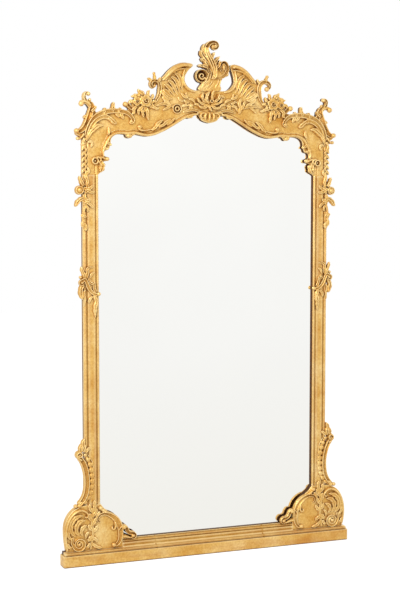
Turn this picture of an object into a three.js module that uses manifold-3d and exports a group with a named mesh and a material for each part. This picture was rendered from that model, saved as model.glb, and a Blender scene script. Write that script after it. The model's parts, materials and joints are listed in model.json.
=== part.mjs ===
// Pier mirror: a carved and gilded rococo frame round a tall plate, standing on a plain plinth.
// Millimetres. +X is to the right, +Y points at the wall behind, +Z is up.
// The origin is the middle of the plinth's underside.
import * as THREE from "three";
import { mergeVertices } from "three/addons/utils/BufferGeometryUtils.js";
import Module from "manifold-3d";

const wasm = await Module();
wasm.setup();

// ---------- driving dimensions ----------
// plinth
const plinthOverhang = 3; // the plinth's ends pass the base boards by this much
const plinthDepth = 66;
const plinthHeight = 48;
const plinthCornerRadius = 9;
const capHeight = 13;
const capSetIn = 8; // the cap's ends stop this far inside the plinth's ends
const capNose = 5; // the cap's front edge lies this far behind the plinth's front

// frame, across
const sightHalf = 493; // half width of the visible plate
const stileWidth = 68;
const crestHalf = 250; // half width of the crest board between its joints
const baseStep = 95; // the base boards reach this far inside the sight edge
const baseReach = 99; // and this far outside the stiles

// frame, upwards
const baseBoardHeight = 194; // from the cap to the foot of the pilasters
const pilasterHeight = 1388;
const cornerHeight = 157; // from the pilaster's head to the shoulder line
const crestHeight = 408; // from the shoulder line to the top of the crest
const sightSill = 37; // the lower sight edge above the cap
const plumeSeat = 2000; // the crest board's flat on the drawing, which carries the plume

// frame, front to back
const frameBack = 28; // the back of the frame, from the plinth's middle plane
const frameDepth = 31;
const mouldingDepth = 16; // front mouldings, in front of the plate
const baseProud = 6; // the base boards stand this far proud of the stiles
const plumeBack = 8; // the plume's back lies this far in front of the frame's back
const backingDepth = 19; // how thick the board is behind overhanging scrolls

// plate and backboards
const plateThickness = 5;
const plateLap = 10; // how far the plate runs behind the sight edge
const backboardThickness = 7;
const backboardLap = 21; // how far the backboards lap on to the back frame
const backboardCount = 4;
const backboardGap = 0.6;
const fitGap = 0.3; // clearance between neighbouring pieces
const weldGap = 0.004; // corners nearer than this are one corner

// wall hangers
const hangerDrop = 83; // the top of the hangers' straps, below the pilasters' heads
const strapWidth = 16;
const strapLength = 46;
const strapThickness = 1;
const ringWire = 2.4;
const ringWidth = 26;
const ringDrop = 22;
const knuckleWidth = 10;
const screwCount = 2; // in each strap
const screwPitch = 13;
const screwInset = 7; // the lowest screw above the strap's foot
const screwShank = 3;
const screwDepth = 12;
const screwHead = 5.4;
const screwHeadHeight = 1.2;

// ---------- levels and planes worked out from them ----------
const stileOuter = sightHalf + stileWidth;
const baseInner = sightHalf - baseStep;
const baseOuter = stileOuter + baseReach;
const plinthWidth = 2 * (baseOuter + plinthOverhang);
const baseTop = plinthHeight + capHeight;
const pilasterFoot = baseTop + baseBoardHeight;
const pilasterHead = pilasterFoot + pilasterHeight;
const shoulder = pilasterHead + cornerHeight;
const overallHeight = shoulder + crestHeight;
const hangerLevel = pilasterHead - hangerDrop;
const faceY = frameBack - frameDepth; // the plane that the carving is planted on
const rebateY = faceY + mouldingDepth; // the front wall of the plate's rebate
const plateFront = rebateY + fitGap;
const plateBack = plateFront + plateThickness;
const stepY = plateBack + fitGap; // the step that the backboards are screwed to
const baseFaceY = faceY - baseProud;
const plateHalf = sightHalf + plateLap;
const backboardHalf = plateHalf + backboardLap;
const sillLevel = baseTop + sightSill;
const plateFoot = sillLevel - plateLap;
const backboardFoot = plateFoot - backboardLap;

// ---------- the carver's drawing ----------
// Every carved line is drawn full size in [across, up], measured from the middle and the floor.
// The drawing's own datum lines are listed here, each beside the size it is fitted to, so that
// the carving stretches with the frame.
const acrossDatums = [
  [0, 0], [250, crestHalf], [398, baseInner], [493, sightHalf], [561, stileOuter], [660, baseOuter],
];
const upDatums = [
  [0, 0], [61, baseTop], [255, pilasterFoot], [1643, pilasterHead], [1800, shoulder],
  [2208, overallHeight],
];

function fitted(value, datums) {
  const size = Math.abs(value);
  let low = datums[0];
  let high = datums[1];
  for (let i = 1; i < datums.length - 1 && size > high[0]; i++) {
    low = datums[i];
    high = datums[i + 1];
  }
  const last = datums[datums.length - 1];
  if (size > last[0]) return Math.sign(value) * (last[1] + size - last[0]);
  const share = (size - low[0]) / (high[0] - low[0]);
  return Math.sign(value) * (low[1] + share * (high[1] - low[1]));
}

const place = ([across, up], side) => [side * fitted(across, acrossDatums), fitted(up, upDatums)];

// ---------- solids ----------
// A triangle list becomes a solid, turned the right way out.
function solidFromTriangles(positions, triangles) {
  let volume = 0;
  for (const [a, b, c] of triangles) {
    const [p, q, r] = [a, b, c].map((i) => new THREE.Vector3(...positions[i]));
    volume += p.dot(q.cross(r));
  }
  const faces = volume < 0 ? triangles.map(([a, b, c]) => [a, c, b]) : triangles;
  const vertProperties = new Float32Array(positions.flat());
  return new wasm.Manifold(new wasm.Mesh({
    numProp: 3, vertProperties, triVerts: new Uint32Array(faces.flat()),
  }));
}

function solidFromGeometry(geometry) {
  const bare = geometry.clone();
  bare.deleteAttribute("normal");
  bare.deleteAttribute("uv");
  const merged = welded(bare, 1e-4);
  const positions = [];
  for (let i = 0; i < merged.attributes.position.count; i++) {
    positions.push(new THREE.Vector3().fromBufferAttribute(merged.attributes.position, i).toArray());
  }
  const triangles = [];
  for (let i = 0; i < merged.index.count; i += 3) {
    triangles.push([merged.index.getX(i), merged.index.getX(i + 1), merged.index.getX(i + 2)]);
  }
  return solidFromTriangles(positions, triangles);
}

// Corners closer than the tolerance become one, and faces that shrink to nothing go.
function welded(geometry, tolerance) {
  const merged = mergeVertices(geometry, tolerance);
  const kept = [];
  for (let i = 0; i < merged.index.count; i += 3) {
    const [a, b, c] = [0, 1, 2].map((k) => merged.index.getX(i + k));
    if (a !== b && b !== c && c !== a) kept.push(a, b, c);
  }
  merged.setIndex(kept);
  return merged;
}

function geometryFromSolid(solid) {
  const mesh = solid.getMesh();
  const geometry = new THREE.BufferGeometry();
  geometry.setAttribute("position", new THREE.Float32BufferAttribute(mesh.vertProperties, 3));
  geometry.setIndex(new THREE.Uint32BufferAttribute(mesh.triVerts, 1));
  const clean = welded(geometry, weldGap);
  clean.computeVertexNormals();
  return clean;
}

const join = (solids) => solids.reduce((sum, solid) => sum.add(solid));

// Where a cut leaves loose crumbs, only the piece itself is kept.
function wholePiece(solid) {
  const bodies = solid.decompose();
  return bodies.reduce((best, body) => (body.volume() > best.volume() ? body : best));
}

function box(x0, x1, y0, y1, z0, z1) {
  const geometry = new THREE.BoxGeometry(x1 - x0, y1 - y0, z1 - z0);
  geometry.translate((x0 + x1) / 2, (y0 + y1) / 2, (z0 + z1) / 2);
  return solidFromGeometry(geometry);
}

// A board sawn to an outline of [x, z] points, between two planes.
function board(outline, front, back) {
  const shape = new THREE.Shape(outline.map(([x, z]) => new THREE.Vector2(x, z)));
  const geometry = new THREE.ExtrudeGeometry(shape, { depth: back - front, bevelEnabled: false });
  geometry.rotateX(Math.PI / 2);
  geometry.translate(0, back, 0);
  return solidFromGeometry(geometry);
}

// A moulding run along X, from a section of [y, z] points.
function runAcross(section, x0, x1) {
  const shape = new THREE.Shape(section.map(([y, z]) => new THREE.Vector2(y, z)));
  const geometry = new THREE.ExtrudeGeometry(shape, { depth: x1 - x0, bevelEnabled: false });
  const turn = new THREE.Matrix4().set(0, 0, 1, x0, 1, 0, 0, 0, 0, 1, 0, 0, 0, 0, 0, 1);
  geometry.applyMatrix4(turn);
  return solidFromGeometry(geometry);
}

// A moulding run upwards, from a section of [x, y] points.
function runUp(section, z0, z1) {
  const shape = new THREE.Shape(section.map(([x, y]) => new THREE.Vector2(x, y)));
  const geometry = new THREE.ExtrudeGeometry(shape, { depth: z1 - z0, bevelEnabled: false });
  geometry.translate(0, 0, z0);
  return solidFromGeometry(geometry);
}

function cylinder(radius, from, to, sides = 12) {
  const start = new THREE.Vector3(...from);
  const along = new THREE.Vector3(...to).sub(start);
  const geometry = new THREE.CylinderGeometry(radius, radius, along.length(), sides);
  const up = new THREE.Vector3(0, 1, 0);
  geometry.applyQuaternion(new THREE.Quaternion().setFromUnitVectors(up, along.clone().normalize()));
  geometry.translate(...start.addScaledVector(along, 0.5).toArray());
  return solidFromGeometry(geometry);
}

// ---------- carving ----------
const sectionTop = 0.52; // a carved strap's flat top, as a share of its width
const stepTurn = 46; // degrees of bend in one step of a strap
const stepLength = 38; // the longest step of a strap
const chunkTurn = 170; // degrees of bend in one length of strap, before the next is joined on
const dotSides = 8;

// The points of a spiral from its eye outwards. exit is where it leaves the circle, in degrees
// from the across axis, and turns are counted positive anticlockwise.
function curl(across, up, radius, exit, turns) {
  const count = Math.ceil(Math.abs(turns) * 8);
  const points = [];
  for (let i = 0; i <= count; i++) {
    const share = i / count;
    const angle = THREE.MathUtils.degToRad(exit - 360 * turns * (1 - share));
    const reach = radius * (0.42 + 0.58 * share);
    points.push([across + reach * Math.cos(angle), up + reach * Math.sin(angle)]);
  }
  return points;
}

// A value along a strap, from a few values spread evenly over its length.
function along(values, share) {
  const spot = share * (values.length - 1);
  const low = Math.min(Math.floor(spot), values.length - 2);
  return values[low] + (values[low + 1] - values[low]) * (spot - low);
}

// The stations of a strap: a smooth curve through its route, stepped by bend and length.
function stations(route) {
  const points = route.map(([x, z]) => new THREE.Vector3(x, 0, z));
  const curve = new THREE.CatmullRomCurve3(points, false, "centripetal");
  const fine = 12 * route.length;
  const list = [];
  let last = null;
  for (let i = 0; i <= fine; i++) {
    const share = i / fine;
    const point = curve.getPoint(share);
    const tangent = curve.getTangent(share).normalize();
    const bend = last ? THREE.MathUtils.radToDeg(tangent.angleTo(last.tangent)) : 0;
    const run = last ? point.distanceTo(last.point) : 0;
    if (!last || bend > stepTurn || run > stepLength || i === fine) {
      last = { point, tangent, share };
      list.push(last);
    }
  }
  return list;
}

function strapRun(list, width, relief, plane, top, grow) {
  const positions = [];
  const triangles = [];
  list.forEach(({ point, tangent, share }) => {
    const across = new THREE.Vector3(tangent.z, 0, -tangent.x);
    const half = along(width, share) + grow;
    const front = plane - along(relief, share) - grow;
    for (const [offset, y] of [[-half, plane], [-half * top, front], [half * top, front], [half, plane]]) {
      const corner = point.clone().addScaledVector(across, offset);
      positions.push([corner.x, y, corner.z]);
    }
  });
  const sides = 4;
  for (let i = 0; i < list.length - 1; i++) {
    for (let j = 0; j < sides; j++) {
      const a = i * sides + j;
      const b = i * sides + ((j + 1) % sides);
      triangles.push([a, b, b + sides], [a, b + sides, a + sides]);
    }
  }
  const end = (list.length - 1) * sides;
  triangles.push([0, 2, 1], [0, 3, 2], [end, end + 1, end + 2], [end, end + 2, end + 3]);
  return solidFromTriangles(positions, triangles);
}

// One carved strap, leaf rib or scroll. Long curls are made in lengths and joined.
function strap({ route, width, relief }, side, { plane, top = sectionTop, grow = 0 }) {
  const list = stations(route.map((point) => place(point, side)));
  const lengths = [];
  let first = 0;
  let turned = 0;
  for (let i = 1; i < list.length; i++) {
    turned += THREE.MathUtils.radToDeg(list[i].tangent.angleTo(list[i - 1].tangent));
    if (turned > chunkTurn || i === list.length - 1) {
      lengths.push(strapRun(list.slice(first, i + 1), width, relief, plane, top, grow));
      first = Math.max(first, i - 1);
      turned = 0;
    }
  }
  return join(lengths);
}

// A low mound on an outline: a boss, a bud, a flower or the ground of a carving.
function mound(drawn, plane, relief, top) {
  const points = drawn.map(([x, z]) => new THREE.Vector2(x, z));
  const outline = THREE.ShapeUtils.isClockWise(points) ? drawn.slice().reverse() : drawn;
  const count = outline.length;
  const middle = outline.reduce(([x, z], p) => [x + p[0] / count, z + p[1] / count], [0, 0]);
  const positions = [];
  for (const [scale, y] of [[1, plane], [top, plane - relief]]) {
    for (const [x, z] of outline) {
      positions.push([middle[0] + (x - middle[0]) * scale, y, middle[1] + (z - middle[1]) * scale]);
    }
  }
  const triangles = [];
  const flat = THREE.ShapeUtils.triangulateShape(outline.map(([x, z]) => new THREE.Vector2(x, z)), []);
  for (const [a, b, c] of flat) {
    triangles.push([a, b, c], [c + count, b + count, a + count]);
  }
  for (let i = 0; i < count; i++) {
    const next = (i + 1) % count;
    triangles.push([next, i, i + count], [next, i + count, next + count]);
  }
  return solidFromTriangles(positions, triangles);
}

function roundOutline([x, z], radius, sides, lobes = 0, depth = 0) {
  return Array.from({ length: sides }, (_, i) => {
    const angle = (i / sides) * 2 * Math.PI;
    const reach = radius * (1 - depth + depth * Math.cos(lobes * angle));
    return [x + reach * Math.cos(angle), z + reach * Math.sin(angle)];
  });
}

function dot({ at, radius, relief }, side, { plane, grow = 0 }) {
  return mound(roundOutline(place(at, side), radius + grow, dotSides), plane, relief + grow, 0.55);
}

function flower({ at, radius, relief, petals = 5 }, side, { plane, grow = 0 }) {
  const middle = place(at, side);
  const ruff = roundOutline(middle, radius + grow, petals * 2, petals, 0.12);
  const heart = roundOutline(middle, radius * 0.36 + grow, dotSides);
  return mound(ruff, plane, relief * 0.7 + grow, 0.72).add(mound(heart, plane, relief + grow, 0.6));
}

function ground({ outline, relief }, side, { plane, grow = 0 }) {
  const middle = outline.reduce(([x, z], p) => [x + p[0] / outline.length, z + p[1] / outline.length], [0, 0]);
  const grown = outline.map(([x, z]) => {
    const reach = Math.hypot(x - middle[0], z - middle[1]);
    return [x + (grow * (x - middle[0])) / reach, z + (grow * (z - middle[1])) / reach];
  });
  return mound(grown.map((point) => place(point, side)), plane, relief + grow, 0.94);
}

const makers = { route: strap, petals: flower, outline: ground, at: dot };

function carvedShape(item, side, options) {
  const kind = Object.keys(makers).find((key) => key in item);
  return makers[kind](item, side, options);
}

const carve = (items, side, options) => join(items.map((item) => carvedShape(item, side, options)));

// The board behind overhanging straps and bosses, a little narrower than they are.
function backing(items, side, front, back) {
  const shapes = items.map((item) => {
    if (item.route) {
      const width = item.width.map((half) => half * 0.9);
      const relief = [back - front, back - front, back - front];
      return strap({ route: item.route, width, relief }, side, { plane: back, top: 1 });
    }
    return mound(roundOutline(place(item.at, side), item.radius * 0.92, dotSides), back, back - front, 1);
  });
  return join(shapes);
}

// ---------- materials ----------
const finish = (color, roughness, metalness) => () =>
  new THREE.MeshStandardMaterial({ color, roughness, metalness });
const gilt = finish(0xd9a94f, 0.42, 0.75);
const giltPlain = finish(0xe0b560, 0.38, 0.75);
const pine = finish(0xb08a5a, 0.8, 0);
const silvered = finish(0xe9ebec, 0.04, 1);
const brass = finish(0xb8954a, 0.35, 1);
const steel = finish(0x8f8f8c, 0.4, 1);

const pierMirror = new THREE.Group();

function add(name, solid, material, parent = pierMirror) {
  const mesh = new THREE.Mesh(geometryFromSolid(solid), material());
  mesh.name = name;
  parent.add(mesh);
  return mesh;
}

// Carved pieces are fitted one after another: each is cut back from those already planted.
const planted = [];

function plant(name, items, side, { plane = faceY, wrap = null } = {}) {
  const whole = (grow) => {
    const front = carve(items, side, { plane, grow });
    return wrap ? front.add(sideWrap(wrap, side, grow)) : front;
  };
  let solid = whole(0);
  const reach = solid.boundingBox();
  for (const other of planted) {
    const apart = [0, 1, 2].some((i) => reach.min[i] > other.reach.max[i] || reach.max[i] < other.reach.min[i]);
    if (!apart) solid = solid.subtract(other.grown);
  }
  const grown = whole(fitGap);
  planted.push({ grown, reach: grown.boundingBox() });
  add(name, wholePiece(solid), gilt);
}

// The part of an ornament that hangs over the stile's outer edge is thick, and lies against
// the stile's side.
function sideWrap(items, side, grow) {
  const thick = backing(items, side, faceY - 1, rebateY + grow);
  const edge = stileOuter + fitGap;
  return thick.subtract(box(-edge, edge, faceY - 2, frameBack, 0, overallHeight));
}

const sides = [["left", -1], ["right", 1]];

// ---------- plinth ----------
function plinthBlock() {
  const half = plinthWidth / 2 - plinthCornerRadius;
  const deep = plinthDepth / 2 - plinthCornerRadius;
  const shape = new THREE.Shape();
  shape.absarc(half, deep, plinthCornerRadius, 0, Math.PI / 2);
  shape.absarc(-half, deep, plinthCornerRadius, Math.PI / 2, Math.PI);
  shape.absarc(-half, -deep, plinthCornerRadius, Math.PI, 1.5 * Math.PI);
  shape.absarc(half, -deep, plinthCornerRadius, 1.5 * Math.PI, 2 * Math.PI);
  return solidFromGeometry(
    new THREE.ExtrudeGeometry(shape, { depth: plinthHeight, bevelEnabled: false, curveSegments: 3 }));
}

function plinthCap() {
  const front = -plinthDepth / 2 + capNose;
  const quirk = 3;
  const section = [
    [front + quirk, plinthHeight], [front, plinthHeight + quirk], [front, baseTop - 2 * quirk],
    [front + 1, baseTop - quirk], [front + quirk, baseTop - 1], [front + 2 * quirk, baseTop],
    [frameBack, baseTop], [frameBack, plinthHeight],
  ];
  const half = plinthWidth / 2 - capSetIn;
  return runAcross(section, -half, half);
}

add("plinth_block", plinthBlock(), giltPlain);
add("plinth_cap", plinthCap(), giltPlain);

// ---------- the pockets for the plate and the backboards, open at the back ----------
// Both have sloping shoulders at the top, which stay inside the shaped boards.
const plateShoulder = [[493, 1842], [262, 1852], [84, 1907]];
const shoulderPoints = plateShoulder.map((point) => place(point, 1));
const shoulderSpread = 20; // the backboards' shoulders lie outside the plate's

function pocketOutline(half, foot, spread) {
  const right = [[half, foot], [half, shoulderPoints[0][1] + spread]];
  for (const [x, z] of shoulderPoints.slice(1)) right.push([x, z + spread]);
  const left = right.map(([x, z]) => [-x, z]).reverse();
  return [...right, ...left];
}

const plateOutline = (gap) => pocketOutline(plateHalf + gap, plateFoot - gap, gap);
const backboardOutline = (gap) => pocketOutline(backboardHalf + gap, backboardFoot - gap, shoulderSpread + gap);
const platePocket = board(plateOutline(fitGap), rebateY, frameBack + 1);
const backboardPocket = board(backboardOutline(fitGap), stepY, frameBack + 1);
const hollow = platePocket.add(backboardPocket);

// ---------- base boards: two-lobed cartouches that carry the pilasters ----------
const baseBoardOutline = [
  [650, 61], [656, 88], [659, 118], [660, 160], [654, 190], [640, 216], [620, 236], [600, 246],
  [580, 251], [561, 255], [493, 255], [486, 245], [478, 235], [464, 224], [444, 207], [424, 184],
  [409, 158], [402, 136], [398, 112], [398, 61],
];

for (const [word, side] of sides) {
  const outline = baseBoardOutline.map((point) => place(point, side));
  add(`base_board_${word}`, wholePiece(board(outline, baseFaceY, frameBack).subtract(hollow)), gilt);
}

// ---------- bottom rail between the base boards ----------
function sightRail() {
  const lip = sillLevel;
  const section = [
    [rebateY, baseTop], [faceY - 9, baseTop], [faceY - 9, baseTop + 4], [faceY - 5, baseTop + 7],
    [faceY - 5, lip - 18], [faceY - 1, lip - 15], [faceY - 1, lip - 9], [faceY + 3, lip - 6],
    [faceY + 4, lip - 1], [faceY + 5, lip], [rebateY, lip],
  ];
  return runAcross(section, -baseInner, baseInner);
}

function backRail() {
  const section = [
    [rebateY, baseTop], [frameBack, baseTop], [frameBack, backboardFoot - fitGap],
    [stepY, backboardFoot - fitGap], [stepY, plateFoot - fitGap], [rebateY, plateFoot - fitGap],
  ];
  return runAcross(section, -baseInner, baseInner);
}

add("sight_rail_bottom", sightRail(), giltPlain);
add("back_rail_bottom", backRail(), pine);

// ---------- pilasters and the pine stiles behind them ----------
function pilaster(side) {
  const bead = 14; // outer bead
  const groove = 8;
  const innerBead = 9;
  const outer = stileOuter;
  const inner = sightHalf;
  const section = [
    [outer, rebateY], [outer, faceY + 3], [outer - 2, faceY + 0.6], [outer - 5, faceY],
    [outer - bead + 3, faceY], [outer - bead, faceY + 1.6], [outer - bead - 3, faceY + 5],
    [outer - bead - groove + 3, faceY + 5], [outer - bead - groove, faceY + 1.4],
    [outer - bead - groove - 3, faceY], [inner + innerBead + 8, faceY],
    [inner + innerBead + 5, faceY + 1.6], [inner + innerBead + 3, faceY + 4.5],
    [inner + innerBead, faceY + 4.5], [inner + innerBead - 2, faceY + 2.4],
    [inner + 4, faceY + 3], [inner, faceY + 6.5], [inner, rebateY],
  ];
  return runUp(section.map(([x, y]) => [side * x, y]), pilasterFoot, pilasterHead);
}

function backStile(side) {
  const section = [
    [plateHalf + fitGap, rebateY], [stileOuter, rebateY], [stileOuter, frameBack],
    [backboardHalf + fitGap, frameBack], [backboardHalf + fitGap, stepY], [plateHalf + fitGap, stepY],
  ];
  return runUp(section.map(([x, y]) => [side * x, y]), pilasterFoot, pilasterHead);
}

// The hangers are screwed to the middle of each back stile.
const hangerAcross = (backboardHalf + stileOuter) / 2;
const screwLevels = Array.from({ length: screwCount },
  (_, i) => hangerLevel - strapLength + screwInset + i * screwPitch);

// the holes for the hangers' screws, from front to back
function screwHoles(x, front, back) {
  const radius = screwShank / 2 + fitGap;
  return join(screwLevels.map((z) => cylinder(radius, [x, front, z], [x, back, z], 10)));
}

for (const [word, side] of sides) {
  const holes = screwHoles(side * hangerAcross, frameBack - screwDepth - fitGap, frameBack + 1);
  add(`pilaster_${word}`, pilaster(side), giltPlain);
  add(`back_stile_${word}`, backStile(side).subtract(holes), pine);
}

// ---------- carved lines of the crown, on the drawing ----------
const earScroll = [
  { route: [[588, 1813], [572, 1817], [553, 1828], [538, 1850], [527, 1876], [518, 1900], [525, 1924],
    [540, 1941], [550, 1960], [546, 1976], [535, 1975]], width: [7, 11, 6], relief: [6, 9, 6] },
  { at: [535, 1974], radius: 7, relief: 12 },
  { at: [567, 1931], radius: 11, relief: 13 },
  { route: [[540, 1938], [554, 1938], [565, 1932]], width: [6, 6, 6], relief: [7, 8, 9] },
  { at: [584, 1816], radius: 9, relief: 12 },
  { route: [[562, 1814], [564, 1798], [573, 1786], [584, 1790]], width: [8, 6, 4], relief: [6, 7, 5] },
];
const earSpurs = [
  { route: [[538, 1866], [548, 1862], [557, 1866]], width: [5, 4, 2], relief: [6, 6, 4] },
  { route: [[512, 1908], [504, 1915], [500, 1922]], width: [5, 4, 2], relief: [6, 6, 4] },
];
// what hangs over the crest board's edge, with a board behind it
const voluteBoard = [
  { at: [254, 2019], radius: 27 },
  { route: [[250, 2036], [236, 2034], [220, 2018]], width: [9, 9, 9] },
];
const edgeLeaves = [
  { route: [[358, 1890], [354, 1910], [360, 1928], [373, 1938], [385, 1934], [388, 1924]],
    width: [6, 6, 4], relief: [5, 8, 7] },
  { route: [[438, 1893], [426, 1915], [429, 1937]], width: [7, 7, 2], relief: [5, 8, 5] },
  { route: [[482, 1876], [472, 1896], [467, 1917]], width: [5, 5, 3], relief: [4, 6, 5] },
];
const shoulderVolute = [
  { route: [...curl(254, 2019, 21, 172, 1.2), [226, 2000], [226, 1978], [238, 1958], [256, 1943]],
    width: [3, 5.5, 7], relief: [14, 17, 9] },
  { at: [254, 2019], radius: 8, relief: 17 },
  { route: [[250, 2036], [262, 2044], [273, 2048]], width: [6, 5, 2], relief: [9, 8, 5] },
  { route: [[244, 2036], [250, 2056], [249, 2070]], width: [6, 5, 2.5], relief: [9, 9, 6] },
];
const crestRims = (tip) => [
  { route: [[214, 2045], [203, 2055], [184, 2075], [163, 2092], [138, 2103], [112, 2107], [tip, 2106]],
    width: [6, 7.5, 5], relief: [8, 13, 9] },
  { route: [[204, 2034], [190, 2055], [170, 2074], [146, 2086], [122, 2091]],
    width: [3, 4, 3], relief: [4, 7, 5] },
  { route: [[122, 2104], [104, 2090], [108, 2066], [115, 2044], [107, 2022], [90, 2007], [66, 1999]],
    width: [5, 5, 4], relief: [6, 9, 6] },
];
const rocailleRibs = [[203, 2028], [192, 2046], [177, 2062], [159, 2074], [140, 2080]].map(([across, up]) => {
  const root = [134, 1996];
  const bow = [(across + root[0]) / 2 - 9, (up + root[1]) / 2 + 3];
  return { route: [root, bow, [across, up]], width: [2.5, 4.5, 5], relief: [2, 6, 7] };
});

// ---------- sight edge, from the middle of the crest down to the pilaster ----------
const crestSight = [
  [0, 1863], [22, 1868], [38, 1877], [44, 1893], [60, 1896], [80, 1890], [92, 1880], [105, 1884],
  [125, 1874], [150, 1859], [175, 1844], [202, 1829], [230, 1816], [250, 1809],
];
const cornerSight = [
  [250, 1809], [280, 1804], [302, 1805], [325, 1811], [341, 1806], [352, 1794], [372, 1799],
  [380, 1812], [396, 1812], [414, 1808], [430, 1799], [438, 1788], [441, 1768], [449, 1745],
  [464, 1740], [469, 1722], [450, 1710], [456, 1699], [474, 1693], [471, 1676], [480, 1654], [493, 1643],
];

// ---------- corner boards ----------
const cornerTop = [
  [250, 1943], [262, 1945], [268, 1968], [280, 1980], [292, 1972], [306, 1975], [318, 1960],
  [332, 1962], [342, 1942], [352, 1922], [366, 1911], [395, 1909], [415, 1911], [440, 1911],
  [468, 1906], [486, 1896], [500, 1896], [512, 1921], [528, 1943], [545, 1950], [552, 1938],
  [537, 1922], [530, 1898], [538, 1873], [550, 1845], [570, 1830], [588, 1823], [587, 1806],
  [575, 1798], [561, 1788],
];

for (const [word, side] of sides) {
  const outline = [...cornerSight.slice().reverse(), ...cornerTop, [561, 1643]];
  const sawn = board(outline.map((point) => place(point, side)), faceY, frameBack);
  const overhang = backing([...earScroll, ...edgeLeaves], side, faceY, faceY + backingDepth);
  const crestSpan = box(-crestHalf, crestHalf, faceY - 1, frameBack, 0, overallHeight);
  add(`corner_board_${word}`, wholePiece(sawn.add(overhang).subtract(hollow).subtract(crestSpan)), gilt);
}

// ---------- crest board ----------
const wingTop = [
  [250, 1943], [243, 1956], [232, 1980], [228, 2010], [222, 2034], [214, 2049], [203, 2060],
  [184, 2081], [163, 2098], [138, 2110], [110, 2114],
];
const leftWingTip = [[86, 2113], [74, 2106], [80, 2097], [96, 2082]];
const rightWingTip = [[98, 2111], [98, 2094], [100, 2078]];
const openingSide = [[110, 2060], [112, 2038], [100, 2018], [84, 2004], [64, plumeSeat]];

function crestBoard() {
  const left = [...crestSight.slice(1), ...wingTop, ...leftWingTip, ...openingSide];
  const right = [...crestSight, ...wingTop, ...rightWingTip, ...openingSide];
  const outline = [
    ...right.map((point) => place(point, 1)), ...left.reverse().map((point) => place(point, -1)),
  ];
  let solid = board(outline, faceY, frameBack);
  for (const [, side] of sides) {
    solid = solid.add(backing(voluteBoard, side, faceY, faceY + backingDepth));
  }
  return wholePiece(solid.subtract(hollow));
}

add("crest_board", crestBoard(), gilt);

// ---------- carving planted on the crest ----------
plant("wing_carving_left", [...crestRims(80), ...rocailleRibs], -1);
plant("wing_carving_right", [...crestRims(102), ...rocailleRibs], 1);

for (const [word, side] of sides) plant(`shoulder_volute_${word}`, shoulderVolute, side);

const plumeOutline = [
  [-34, 2000], [-34, 2014], [-40, 2036], [-56, 2044], [-63, 2060], [-57, 2078], [-44, 2088],
  [-42, 2094], [-56, 2104], [-42, 2110], [-36, 2125], [-40, 2140], [-47, 2166], [-30, 2163],
  [-27, 2178], [-25, 2190], [-14, 2195], [-4, 2191], [4, 2201], [24, 2208], [42, 2201], [48, 2187],
  [40, 2172], [24, 2170], [10, 2172], [12, 2158], [31, 2170], [27, 2150], [40, 2143], [57, 2148],
  [50, 2133], [60, 2129], [78, 2130], [90, 2118], [93, 2098], [90, 2080], [80, 2066], [88, 2057],
  [72, 2053], [56, 2044], [50, 2030], [52, 2000],
];
const plumeLeaves = [
  { route: [[8, 2002], [20, 2030], [20, 2062], [8, 2100], [-6, 2135], [-10, 2165], [-3, 2186],
    [8, 2199], [24, 2200], [38, 2193], [38, 2182], [28, 2178]], width: [10, 9, 5], relief: [10, 13, 16] },
  { at: [27, 2187], radius: 8, relief: 22 },
  { route: [...curl(-37, 2061, 19, 0, -1.2), [-16, 2040], [-28, 2022]], width: [3, 5, 6], relief: [21, 19, 8] },
  { at: [-37, 2061], radius: 7, relief: 23 },
  { route: [[0, 2124], [20, 2106], [33, 2080], [30, 2058], [14, 2044]], width: [4, 7, 5], relief: [8, 14, 8] },
  { route: [[-18, 2100], [-2, 2090], [8, 2070], [4, 2048], [-4, 2026]], width: [4, 6, 4], relief: [8, 12, 7] },
  { route: [[-6, 2124], [-22, 2130], [-36, 2142], [-44, 2163]], width: [7, 7, 2], relief: [8, 11, 6] },
  { route: [[-6, 2106], [-24, 2104], [-40, 2101], [-54, 2103]], width: [7, 6, 2], relief: [8, 11, 6] },
  { route: [[-8, 2140], [-17, 2164], [-21, 2180], [-15, 2190]], width: [5, 6, 3], relief: [8, 10, 6] },
  { route: [[4, 2142], [15, 2150], [22, 2157], [29, 2166]], width: [6, 5, 2], relief: [7, 9, 5] },
  { route: [[20, 2108], [34, 2124], [45, 2136], [55, 2144]], width: [7, 6, 2], relief: [8, 10, 5] },
  { route: [[46, 2066], [64, 2064], [82, 2072], [88, 2096], [80, 2118], [66, 2124], [54, 2112],
    [51, 2094], [60, 2080], [71, 2084], [73, 2100]], width: [6, 5.5, 4], relief: [8, 17, 15] },
  { route: [[28, 2036], [50, 2052], [68, 2056], [84, 2057]], width: [7, 6, 3], relief: [7, 9, 5] },
];

function plume() {
  const sawn = board(plumeOutline.map((point) => place(point, 1)), faceY, frameBack - plumeBack);
  const seat = fitted(plumeSeat, upDatums);
  const below = box(-crestHalf, crestHalf, -plinthDepth, frameBack, 0, seat);
  const front = carve(plumeLeaves, 1, { plane: faceY });
  return wholePiece(sawn.add(front).subtract(below));
}

add("crest_plume", plume(), gilt);

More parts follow.
